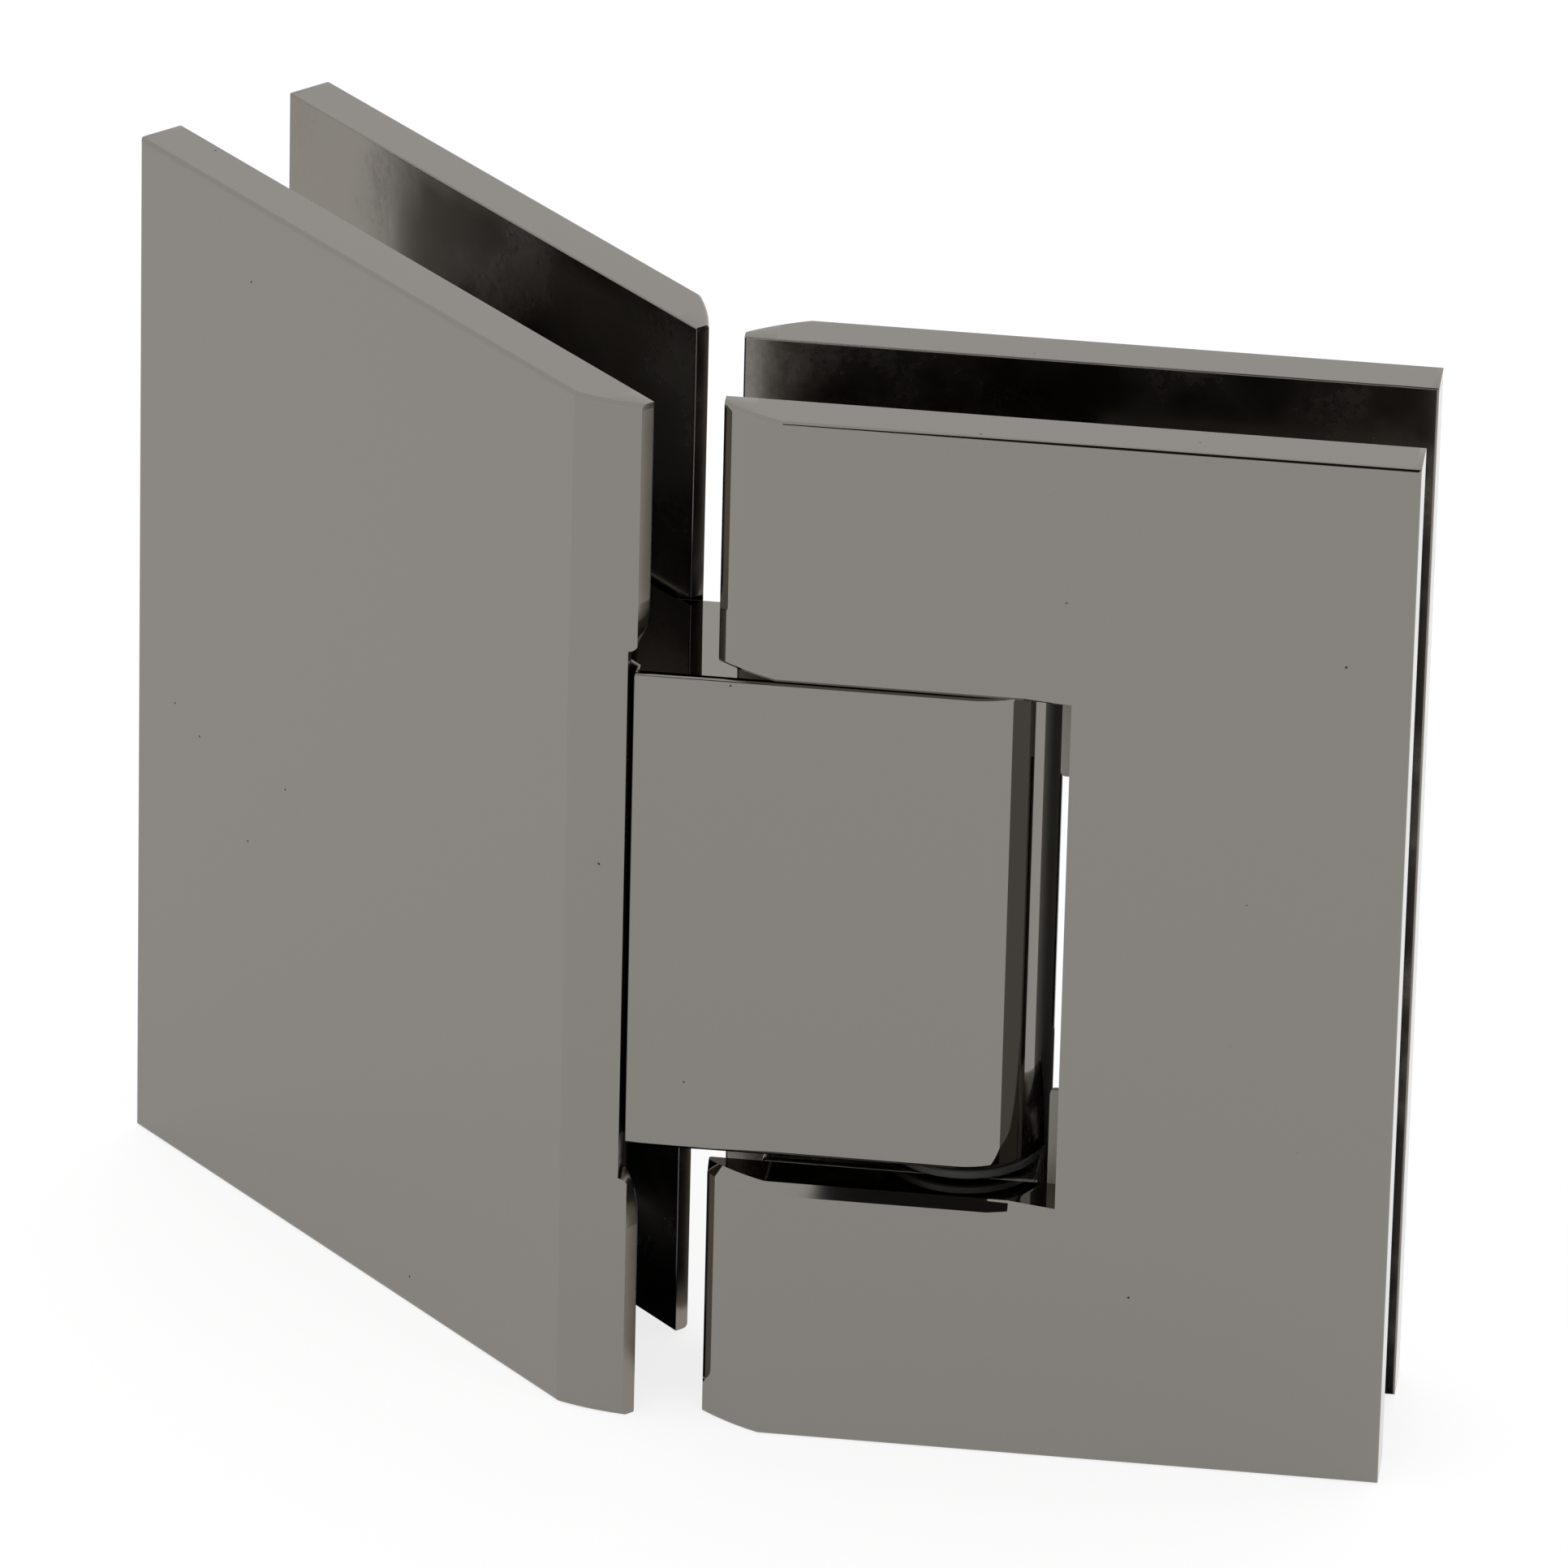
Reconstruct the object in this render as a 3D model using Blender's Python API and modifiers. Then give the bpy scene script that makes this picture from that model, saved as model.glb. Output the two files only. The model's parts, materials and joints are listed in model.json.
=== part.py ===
"""Glass-to-glass hinge for a frameless shower door, its two leaves set at 135 degrees.

Metres, +Z up. The leaves stand on their lower edges, and the origin is on the floor in the
middle of the footprint. Each leaf is a pair of plates that clamp a glass panel between them.
The pieces are drawn in two plan frames, each an empty:
  door_frame    on the pivot axis, with the door leaf along +X and its middle plane at Y = 0
  corner_frame  where the leaves' middle planes cross, with the fixed leaf along -X
Heights are from the floor in both.
"""

import math

import bmesh
import bpy
from mathutils import Matrix, Vector

MM = 0.001

# Plates
PLATE_HEIGHT = 89.0 * MM
PLATE_THICKNESS = 4.15 * MM
GLASS_GAP = 10.6 * MM  # between the front and back plate of a leaf
DOOR_LENGTH = 54.2 * MM  # of both door plates, along the leaf
FIXED_LENGTH = 57.1 * MM  # from the corner to the outer end of both fixed plates
LEAF_ANGLE = math.radians(135.0)
CORNER_REACH = 24.75 * MM  # from the pivot axis to the corner of the middle planes
DOOR_SETBACK = 5.15 * MM  # how far short of the corner the door plates stop
FRONT_OVERLAP = 5.1 * MM  # how far the fixed front plate passes the corner
BACK_SETBACK = 3.5 * MM  # how far short of the corner the fixed back plate stops
EDGE_BEVEL = 0.4 * MM
FACET_RUN = 4.8 * MM  # the bowed facet down the plates' inner ends, along the leaf
FACET_DROP = 2.9 * MM  # and through the plate
FACET_BULGE = 0.2 * MM

# Pivot block
BLOCK_HEIGHT = 41.6 * MM
BLOCK_THICKNESS = 13.8 * MM
TONGUE_REACH = 21.4 * MM  # from the corner to the end of the tongue
SHOULDER_REACH = 1.45 * MM  # how far the block's front side passes the corner
BLOCK_BEVEL = 0.45 * MM

# Room for the pivot block
NOTCH_ROOM = 1.325 * MM  # between the block's ends and the door plates' notch
WALL_ROOM = 1.4 * MM  # between the block's nose and the notch's wall
NOTCH_CHAMFER = 0.8 * MM  # on the notch's lower edge
NOTCH_TOP_CHAMFER = 0.3 * MM
RELIEF_ROOM = 2.4 * MM  # between the block's ends and the ends of the fixed front plate's notch
RELIEF_MOUTH = 1.6 * MM  # depth of the rounding at the two corners of its mouth
RELIEF_RISE = 4.0 * MM  # how far that rounding runs up or down the plate's end

# Pin and what carries it
PIN_RADIUS = 3.5 * MM
PIN_STEP = 0.5 * MM  # how much thinner its ends are
PIN_END_INSET = 1.8 * MM  # how far its ends stay inside the carriers
PIN_FLAT_DEPTH = 0.6 * MM  # of the four flats that the plungers meet
KEY_FLAT_DEPTH = 0.4 * MM  # of the flat under each set screw
KEY_FLAT_HEIGHT = 5.0 * MM
BUSHING_WALL = 1.25 * MM
BUSHING_LENGTH = 7.4 * MM
WASHER_INSET = 0.5 * MM  # from the block's nose to the washers' rim
CARRIER_HEIGHT = 12.0 * MM
CARRIER_NOSE_INSET = 0.4 * MM  # from the block's nose to the carriers' end by the glass
CARRIER_SETBACK = 4.1 * MM  # from the door plates' inner ends to the carriers' other end
SET_SCREW_RADIUS = 2.0 * MM

# Detent
PLUNGER_WALL = 0.7 * MM  # between a plunger's bore and the bushing above or below it
PLUNGER_RADIUS = 3.1 * MM
PLUNGER_LENGTH = 7.6 * MM
PLUNGER_STEM_RADIUS = 1.4 * MM
PLUNGER_STEM_LENGTH = 2.4 * MM
SPRING_RADIUS = 2.3 * MM  # of the coil's centre line
SPRING_WIRE = 0.4 * MM  # wire radius
SPRING_TURNS = 6
PLUG_LENGTH = 4.0 * MM
PLUG_REACH = 1.65 * MM  # how far the plug's end passes the corner

# Fasteners: head radius, head depth, shank radius
CLAMP_SCREW = (4.6 * MM, 2.5 * MM, 2.5 * MM)
BLOCK_SCREW = (4.4 * MM, 2.4 * MM, 2.5 * MM)
CARRIER_SCREW = (3.8 * MM, 2.1 * MM, 2.0 * MM)
HEAD_RIM = 0.3 * MM  # the short straight rim of a countersunk head
CLAMP_SCREW_EDGE = 18.5 * MM  # from the plates' top and bottom edges
CLAMP_SCREW_SHARE = 0.616  # of the way from the door plates' outer end to the notch's wall
CLAMP_SCREW_BITE = 8.4 * MM  # how far it enters its post
BLOCK_SCREW_EDGE = 9.8 * MM  # from the block's ends
BLOCK_SCREW_INSET = 5.8 * MM  # from the end of the tongue
BLIND_HOLE_WALL = 1.2 * MM  # left between a blind hole and a front plate's face
POST_RADIUS = 5.5 * MM
HEX_SHARE = 0.36  # of a countersunk head's radius, to its socket's corners
SOCKET_SHARE = 0.7  # of a head's depth
HEADLESS_HEX_SHARE = 0.5  # of a headless screw's or plug's radius, and of its length
EASE = 0.5 * MM  # chamfer on the ends of turned pieces

# Gaskets
GASKET_THICKNESS = 0.5 * MM
GASKET_EDGE = 9.5 * MM  # from the plates' top and bottom edges
GASKET_END_INSET = 3.0 * MM  # from the plates' outer ends
GASKET_STEP = 1.5 * MM  # from the notch's wall to the door gaskets' edge between their lugs
LUG_COVER = 7.0 * MM  # how far past the block's ends the door gaskets' lugs reach
FIXED_GASKET_LUG = 11.0 * MM  # from the corner to the fixed gaskets' lugs

# Clearances
FIT = 0.3 * MM  # between pieces that touch
RUNNING_FIT = 0.25 * MM
GASKET_FIT = 0.05 * MM
BEYOND = 5.0 * MM  # how far a cutter passes the face that it cuts

ARC_STEPS = 8
FACET_STEPS = 6
MOUTH_STEPS = 5
BEVEL_STEPS = 2
ROUND_STEPS = 32
SMALL_ROUND_STEPS = 20
GASKET_HOLE_STEPS = 24
HEX = 6
COIL_STEPS = 14  # points in a turn of the spring
SAME_POINT = 1e-6
FLAT_ANGLE = math.radians(0.5)

# What follows from the sizes above
MIDDLE = PLATE_HEIGHT / 2
HALF_LEAF = GLASS_GAP / 2 + PLATE_THICKNESS
INNER_FACE = GLASS_GAP / 2 - FIT  # faces of the pieces held between two plates
NOSE = BLOCK_THICKNESS / 2
BLOCK_TOP = MIDDLE + BLOCK_HEIGHT / 2
NOTCH_HEIGHT = BLOCK_HEIGHT + 2 * NOTCH_ROOM
NOTCH_WALL = NOSE + WALL_ROOM
PIVOT_INSET = CORNER_REACH - DOOR_SETBACK  # from the door plates' inner ends to the pivot axis
DOOR_END = DOOR_LENGTH - PIVOT_INSET
CORNER_TURN = LEAF_ANGLE - math.pi
PIN_END_RADIUS = PIN_RADIUS - PIN_STEP
PIN_END = NOTCH_HEIGHT / 2 + CARRIER_HEIGHT - PIN_END_INSET
PIN_FLAT = PIN_RADIUS - PIN_FLAT_DEPTH
PIN_KEY_FLAT = PIN_END_RADIUS - KEY_FLAT_DEPTH
BUSHING_BORE = PIN_RADIUS + RUNNING_FIT
BUSHING_RADIUS = BUSHING_BORE + BUSHING_WALL
WASHER_RADIUS = NOSE - WASHER_INSET
CARRIER_GLASS_SIDE = NOSE - CARRIER_NOSE_INSET  # from the pivot axis to either end of a carrier
CARRIER_OPEN_SIDE = PIVOT_INSET - CARRIER_SETBACK
CARRIER_SCREW_PLACE = -(CARRIER_OPEN_SIDE + PIN_END_RADIUS) / 2
PLUNGER_BORE = PLUNGER_RADIUS + FIT
PLUNGER_HEIGHT = BLOCK_HEIGHT / 2 - FIT - BUSHING_LENGTH - PLUNGER_WALL - PLUNGER_BORE
PLUNGER_TIP = PIN_RADIUS + FIT
SPRING_START = PLUNGER_TIP + PLUNGER_LENGTH + FIT + SPRING_WIRE
PLUG_START = CORNER_REACH + PLUG_REACH - PLUG_LENGTH
SPRING_LENGTH = PLUG_START - FIT - SPRING_WIRE - SPRING_START
CLAMP_SCREW_HEIGHT = MIDDLE - CLAMP_SCREW_EDGE
CLAMP_SCREW_INSET = CLAMP_SCREW_SHARE * (DOOR_END - NOTCH_WALL)
BLOCK_SCREW_HEIGHT = BLOCK_HEIGHT / 2 - BLOCK_SCREW_EDGE
CARRIER_SCREW_HEIGHT = (NOTCH_HEIGHT + CARRIER_HEIGHT) / 2
SCREW_HEAD_FACE = INNER_FACE - FIT / 2
GASKET_LUG = NOSE + FIT
GASKET_RECESS = NOTCH_WALL + GASKET_STEP
GASKET_RECESS_HEIGHT = BLOCK_HEIGHT - 2 * LUG_COVER
LEVELS = {"upper": 1, "lower": -1}


def clear_scene():
    for obj in list(bpy.data.objects):
        bpy.data.objects.remove(obj)


def new_collection(name, helpers=False):
    made = bpy.data.collections.new(name)
    made.hide_render = helpers
    bpy.context.scene.collection.children.link(made)
    return made


def new_material(name, colour, metallic, roughness):
    made = bpy.data.materials.new(name)
    made.use_nodes = True
    shader = made.node_tree.nodes["Principled BSDF"]
    shader.inputs["Base Color"].default_value = (*colour, 1.0)
    shader.inputs["Metallic"].default_value = metallic
    shader.inputs["Roughness"].default_value = roughness
    return made


def footprint_middle():
    """The middle of the leaves' outline in plan, measured from the pivot axis."""
    turn = Matrix.Rotation(CORNER_TURN, 3, "Z")
    corner = Vector((-CORNER_REACH, 0.0, 0.0))
    ends = [Vector((x, y, 0.0)) for x in (-PIVOT_INSET, DOOR_END) for y in (-HALF_LEAF, HALF_LEAF)]
    ends += [corner + turn @ Vector((-FIXED_LENGTH, y, 0.0)) for y in (-HALF_LEAF, HALF_LEAF)]
    xs = [end.x for end in ends]
    ys = [end.y for end in ends]
    return Vector((min(xs) + max(xs), min(ys) + max(ys), 0.0)) / 2


def new_frame(name, place, turn=0.0):
    """An empty that its pieces are parented to."""
    frame = bpy.data.objects.new(name, None)
    frame.location = place
    frame.rotation_euler = (0.0, 0.0, turn)
    frame.empty_display_size = 0.01
    parts.objects.link(frame)
    return frame


def add_object(name, mesh, frame, finish, place=(0.0, 0.0, 0.0), turn=(0.0, 0.0, 0.0)):
    obj = bpy.data.objects.new(name, mesh)
    obj.parent = frame
    obj.location = place
    obj.rotation_euler = turn
    if finish is None:
        obj.hide_render = True
        obj.display_type = "WIRE"
        cutters.objects.link(obj)
    else:
        mesh.materials.append(finish)
        parts.objects.link(obj)
    return obj


def prism(name, outlines, low, high):
    """A mesh: flat outlines filled as one 2D curve, holes and all, and given their depth along Z."""
    curve = bpy.data.curves.new(name, "CURVE")
    curve.dimensions = "2D"
    curve.fill_mode = "BOTH"
    curve.extrude = (high - low) / 2
    for outline in outlines:
        spline = curve.splines.new("POLY")
        spline.points.add(len(outline) - 1)
        spline.use_cyclic_u = True
        for point, (x, y) in zip(spline.points, outline):
            point.co = (x, y, 0.0, 1.0)
    drawn = bpy.data.objects.new(name, curve)
    parts.objects.link(drawn)
    graph = bpy.context.evaluated_depsgraph_get()
    mesh = bpy.data.meshes.new_from_object(drawn.evaluated_get(graph))
    bpy.data.objects.remove(drawn)
    shape = bmesh.new()
    shape.from_mesh(mesh)
    bmesh.ops.remove_doubles(shape, verts=shape.verts, dist=SAME_POINT)
    bmesh.ops.dissolve_limit(shape, angle_limit=FLAT_ANGLE, verts=shape.verts, edges=shape.edges)
    bmesh.ops.translate(shape, vec=(0.0, 0.0, (low + high) / 2), verts=shape.verts)
    bmesh.ops.recalc_face_normals(shape, faces=shape.faces)
    shape.to_mesh(mesh)
    shape.free()
    return mesh


def box(name, low, high):
    """A mesh: the box between two corners."""
    mesh = bpy.data.meshes.new(name)
    shape = bmesh.new()
    bmesh.ops.create_cube(shape, size=1.0)
    size = [b - a for a, b in zip(low, high)]
    bmesh.ops.scale(shape, vec=size, verts=shape.verts)
    bmesh.ops.translate(shape, vec=[(a + b) / 2 for a, b in zip(low, high)], verts=shape.verts)
    shape.to_mesh(mesh)
    shape.free()
    return mesh


def rod(name, radius, low, high, steps=ROUND_STEPS):
    """A mesh: a cylinder about Z."""
    mesh = bpy.data.meshes.new(name)
    shape = bmesh.new()
    bmesh.ops.create_cone(
        shape, cap_ends=True, segments=steps, radius1=radius, radius2=radius, depth=high - low
    )
    bmesh.ops.translate(shape, vec=(0.0, 0.0, (low + high) / 2), verts=shape.verts)
    shape.to_mesh(mesh)
    shape.free()
    return mesh


def turned(name, profile, frame, finish, place, turn=(0.0, 0.0, 0.0), closed=False, steps=ROUND_STEPS):
    """A round piece: its (radius, height) profile, down its outer side, turned about Z."""
    mesh = bpy.data.meshes.new(name)
    shape = bmesh.new()
    points = [shape.verts.new((radius, 0.0, height)) for radius, height in profile]
    for a, b in zip(points, points[1:] + points[:1] if closed else points[1:]):
        shape.edges.new((a, b))
    shape.to_mesh(mesh)
    shape.free()
    obj = add_object(name, mesh, frame, finish, place, turn)
    screw = obj.modifiers.new("Turn", "SCREW")
    screw.steps = steps
    screw.render_steps = steps
    screw.use_merge_vertices = True
    screw.merge_threshold = SAME_POINT
    screw.use_smooth_shade = True
    return obj


def cut(obj, *cutters_used, operation="DIFFERENCE"):
    for cutter in cutters_used:
        boolean = obj.modifiers.new(cutter.name, "BOOLEAN")
        boolean.operation = operation
        boolean.object = cutter
    return obj


def bevel(obj, width, least_angle=60.0):
    """Rounds every edge that turns more than least_angle, in degrees."""
    edges = obj.modifiers.new("Edges", "BEVEL")
    edges.width = width
    edges.segments = BEVEL_STEPS
    edges.limit_method = "ANGLE"
    edges.angle_limit = math.radians(least_angle)
    return obj


def arc(middle, radius, start, end, steps=ARC_STEPS):
    """Points from one angle to another, in radians, both ends included."""
    angles = [start + (end - start) * i / steps for i in range(steps + 1)]
    return [(middle[0] + radius * math.cos(a), middle[1] + radius * math.sin(a)) for a in angles]


def bowed_facet():
    """The facet's points as (distance along the leaf, depth in the plate), from its end to its face.

    They lie on the circle through both ends of the facet that stands FACET_BULGE proud of its chord.
    """
    chord = math.hypot(FACET_RUN, FACET_DROP)
    radius = (chord * chord / 4 + FACET_BULGE * FACET_BULGE) / (2 * FACET_BULGE)
    half = math.asin(chord / 2 / radius)
    lean = math.atan2(FACET_DROP, FACET_RUN)
    reach = radius - FACET_BULGE
    middle = (
        FACET_RUN / 2 + reach * math.sin(lean),
        FACET_DROP / 2 + reach * math.cos(lean),
    )
    facing = -math.pi / 2 - lean
    return arc(middle, radius, facing - half, facing + half, FACET_STEPS)


def plate(name, frame, inner_end, outer_end, side):
    """A plate with the bowed facet down the inner end of its outer face.

    side is -1 for a front plate and 1 for a back plate.
    """
    along = math.copysign(1.0, outer_end - inner_end)
    inner_face = side * GLASS_GAP / 2
    outer_face = side * HALF_LEAF
    outline = [(inner_end, inner_face)]
    outline += [(inner_end + along * s, outer_face - side * depth) for s, depth in bowed_facet()]
    outline += [(outer_end, outer_face), (outer_end, inner_face)]
    obj = add_object(name, prism(name, [outline], 0.0, PLATE_HEIGHT), frame, polished)
    return bevel(obj, EDGE_BEVEL)


def clamp_post(name, frame, along, level):
    """The rod that is joined on to a front plate as the post for a clamp screw."""
    end = PLATE_THICKNESS + GLASS_GAP - 2 * FIT
    mesh = rod(name, POST_RADIUS, PLATE_THICKNESS / 2, end, SMALL_ROUND_STEPS)
    place = (along, -HALF_LEAF, MIDDLE + level * CLAMP_SCREW_HEIGHT)
    return add_object(name, mesh, frame, None, place, FACING_BACK)


def countersunk(size, length, grow=0.0, above=0.0):
    """Profile of a countersunk screw from its head's flat top at 0, or of its hole, grown all round."""
    head, head_depth, shank = size
    end = -length - grow
    return [
        (0.0, above),
        (head + grow, above),
        (head + grow, -HEAD_RIM),
        (shank + grow, -head_depth - grow / 2),
        (shank + grow, end + EASE),
        (shank + grow - EASE, end),
        (0.0, end),
    ]


def hex_socket(name, frame, radius, depth, place, turn):
    mesh = rod(name, radius, -depth, BEYOND, HEX)
    return add_object(name, mesh, frame, None, place, turn)


def flat_screw(name, frame, size, length, place):
    """A countersunk screw that enters from the back, and the cutter for its hole."""
    head, head_depth, _ = size
    screw = turned(
        name, countersunk(size, length), frame, stainless, place, FACING_BACK, steps=SMALL_ROUND_STEPS
    )
    socket = hex_socket(
        name + "_socket", frame, head * HEX_SHARE, head_depth * SOCKET_SHARE, place, FACING_BACK
    )
    hole = turned(
        name + "_hole",
        countersunk(size, length, FIT, BEYOND),
        frame,
        None,
        place,
        FACING_BACK,
        steps=SMALL_ROUND_STEPS,
    )
    cut(screw, socket)
    return hole


def clamp_screws(leaf, frame, along):
    """The two screws that draw a leaf's plates together: their posts and the cutters for their holes."""
    posts = []
    holes = []
    head_face = HALF_LEAF - FIT / 2
    length = head_face - (GLASS_GAP / 2 - 2 * FIT) + CLAMP_SCREW_BITE
    for word, level in LEVELS.items():
        height = MIDDLE + level * CLAMP_SCREW_HEIGHT
        posts.append(clamp_post(f"{leaf}_post_{word}", frame, along, level))
        name = f"{leaf}_clamp_screw_{word}"
        holes.append(flat_screw(name, frame, CLAMP_SCREW, length, (along, head_face, height)))
    return posts, holes


def gasket(name, frame, outline, along, side):
    """A thin sheet against a plate's inner face, with a hole for each clamp post."""
    centres = [(along, MIDDLE + level * CLAMP_SCREW_HEIGHT) for level in LEVELS.values()]
    holes = [arc(centre, POST_RADIUS + FIT, 0.0, math.tau, GASKET_HOLE_STEPS)[:-1] for centre in centres]
    middle = GLASS_GAP / 2 - GASKET_FIT - GASKET_THICKNESS / 2
    mesh = prism(name, [outline, *holes], -GASKET_THICKNESS / 2, GASKET_THICKNESS / 2)
    return add_object(name, mesh, frame, vinyl, (0.0, side * middle, 0.0), STANDING)


def gasket_outline(outer, lug, recess, recess_height):
    """Outline of a gasket along the leaf and up it, with a recess in the edge by the pivot."""
    low, high = GASKET_EDGE, PLATE_HEIGHT - GASKET_EDGE
    step_low, step_high = MIDDLE - recess_height / 2, MIDDLE + recess_height / 2
    return [
        (outer, low),
        (outer, high),
        (lug, high),
        (lug, step_high),
        (recess, step_high),
        (recess, step_low),
        (lug, step_low),
        (lug, low),
    ]


def level_edge(chamfer):
    """A level edge of the notch, as (place across the leaf, how far out), between its two chamfers."""
    flat = HALF_LEAF - chamfer
    wide = HALF_LEAF + BEYOND
    out = chamfer + BEYOND
    return [(-wide, out), (-flat, 0.0), (flat, 0.0), (wide, out)]


def notch_cutter():
    """The C-shaped notch through both door plates, with chamfers on its level edges."""
    low = MIDDLE - NOTCH_HEIGHT / 2
    high = MIDDLE + NOTCH_HEIGHT / 2
    outline = [(y, low - out) for y, out in level_edge(NOTCH_CHAMFER)]
    outline += [(y, high + out) for y, out in reversed(level_edge(NOTCH_TOP_CHAMFER))]
    mesh = prism("notch_cutter", [outline], -PIVOT_INSET - BEYOND, NOTCH_WALL)
    return add_object("notch_cutter", mesh, door_frame, None, turn=ALONG_X)


def front_notch():
    """The notch in the fixed front plate's inner end for the block's shoulder, with a rounded mouth."""
    floor = -CORNER_REACH - SHOULDER_REACH - FIT
    end = BLOCK_HEIGHT / 2 + RELIEF_ROOM
    quarter = arc((floor, RELIEF_MOUTH), RELIEF_MOUTH, -math.pi / 2, 0.0, MOUTH_STEPS)
    upper = [(x, end + z * RELIEF_RISE / RELIEF_MOUTH) for x, z in quarter]
    upper.append((floor + RELIEF_MOUTH + BEYOND, end + RELIEF_RISE))
    lower = [(x, -z) for x, z in reversed(upper)]
    mesh = prism("front_notch", [upper + lower], 0.0, 2 * HALF_LEAF)
    return add_object("front_notch", mesh, pivot_frame, None, (0.0, 0.0, MIDDLE), STANDING)


def back_notch():
    """The step in the fixed back plate's inner end for the block's back side."""
    end = BLOCK_HEIGHT / 2 + FIT
    low = (-CORNER_REACH - HALF_LEAF, 0.0, -end)
    mesh = box("back_notch", low, (-CORNER_REACH + HALF_LEAF, NOSE + FIT, end))
    return add_object("back_notch", mesh, pivot_frame, None, (0.0, 0.0, MIDDLE))


def block_outline():
    """Plan of the pivot block from the pivot axis: half-round nose, flat sides, slanted tongue."""
    turn = Matrix.Rotation(CORNER_TURN, 2)
    corner = Vector((-CORNER_REACH, 0.0))

    def tongue_end(side):
        point = corner + turn @ Vector((-TONGUE_REACH, side * INNER_FACE))
        return (point.x, point.y)

    nose = arc((0.0, 0.0), NOSE, -math.pi / 2, math.pi / 2, 2 * ARC_STEPS)
    back_run = (INNER_FACE - NOSE * math.cos(CORNER_TURN)) / -math.sin(CORNER_TURN)
    elbow = -SHOULDER_REACH * math.tan(CORNER_TURN) - INNER_FACE / math.cos(CORNER_TURN)
    shoulder = corner.x - SHOULDER_REACH
    back = [(corner.x + back_run, NOSE), tongue_end(1)]
    front = [tongue_end(-1), (shoulder, elbow), (shoulder, -NOSE)]
    return nose + back + front


def pivot_block(screw_holes):
    mesh = prism("pivot_block", [block_outline()], BLOCK_TOP - BLOCK_HEIGHT, BLOCK_TOP)
    block = bevel(add_object("pivot_block", mesh, pivot_frame, polished), BLOCK_BEVEL)
    bore = rod("pin_bore", BUSHING_BORE + FIT, -BEYOND, PLATE_HEIGHT + BEYOND)
    cut(block, add_object("pin_bore", bore, pivot_frame, None))
    for word, level in LEVELS.items():
        ends = (level * (BLOCK_HEIGHT / 2 - BUSHING_LENGTH - 2 * FIT), level * (BLOCK_HEIGHT / 2 + BEYOND))
        seat = rod("bushing_seat_" + word, BUSHING_RADIUS + FIT, min(ends), max(ends))
        cut(block, add_object(seat.name, seat, pivot_frame, None, (0.0, 0.0, MIDDLE)))
        length = CORNER_REACH + TONGUE_REACH
        bore = rod("plunger_bore_" + word, PLUNGER_BORE, 0.0, length, SMALL_ROUND_STEPS)
        place = (0.0, 0.0, MIDDLE + level * PLUNGER_HEIGHT)
        cut(block, add_object(bore.name, bore, pivot_frame, None, place, FACING_CORNER))
    cut(block, *screw_holes)


def block_screws():
    """The screws that hold the block's tongue to the fixed front plate."""
    along = -TONGUE_REACH + BLOCK_SCREW_INSET
    length = SCREW_HEAD_FACE + HALF_LEAF - BLIND_HOLE_WALL - FIT
    holes = []
    for word, level in LEVELS.items():
        place = (along, SCREW_HEAD_FACE, MIDDLE + level * BLOCK_SCREW_HEIGHT)
        holes.append(flat_screw("block_screw_" + word, corner_frame, BLOCK_SCREW, length, place))
    return holes


def ring(name, radius, low, high):
    """An acetal ring round the pin."""
    profile = [(radius, high), (radius, low), (BUSHING_BORE, low), (BUSHING_BORE, high)]
    turned(name, profile, pivot_frame, acetal, (0.0, 0.0, MIDDLE), closed=True)


def bushings_and_washers():
    for word, level in LEVELS.items():
        ends = (level * (BLOCK_HEIGHT / 2 - FIT), level * (BLOCK_HEIGHT / 2 - FIT - BUSHING_LENGTH))
        ring("pin_bushing_" + word, BUSHING_RADIUS, min(ends), max(ends))
        ends = (level * (BLOCK_HEIGHT / 2 + FIT), level * (NOTCH_HEIGHT / 2 - FIT))
        ring("thrust_washer_" + word, WASHER_RADIUS, min(ends), max(ends))


def headless(name, frame, radius, length, place, turn):
    """A headless screw from 0 to its length, with a hex socket in that far end."""
    profile = [(0.0, length), (radius, length), (radius, 0.0), (0.0, 0.0)]
    screw = turned(name, profile, frame, stainless, place, turn, steps=SMALL_ROUND_STEPS)
    depth = length * HEADLESS_HEX_SHARE
    socket = rod(name + "_socket", radius * HEADLESS_HEX_SHARE, length - depth, length + BEYOND, HEX)
    cut(screw, add_object(socket.name, socket, frame, None, place, turn))


def detent(word, level):
    """A plunger that presses on the pin, its spring, and the plug that backs the spring."""
    height = MIDDLE + level * PLUNGER_HEIGHT
    stem_end = PLUNGER_LENGTH + PLUNGER_STEM_LENGTH
    plunger = [
        (0.0, 0.0),
        (PLUNGER_RADIUS - EASE, 0.0),
        (PLUNGER_RADIUS, -EASE),
        (PLUNGER_RADIUS, -PLUNGER_LENGTH),
        (PLUNGER_STEM_RADIUS, -PLUNGER_LENGTH),
        (PLUNGER_STEM_RADIUS, -stem_end),
        (0.0, -stem_end),
    ]
    place = (-PLUNGER_TIP, 0.0, height)
    name = "detent_plunger_" + word
    turned(name, plunger, pivot_frame, stainless, place, FACING_GLASS, steps=SMALL_ROUND_STEPS)
    coil_spring("detent_spring_" + word, (-SPRING_START, 0.0, height))
    place = (-PLUG_START, 0.0, height)
    headless("spring_plug_" + word, pivot_frame, PLUNGER_RADIUS, PLUG_LENGTH, place, FACING_CORNER)


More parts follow.
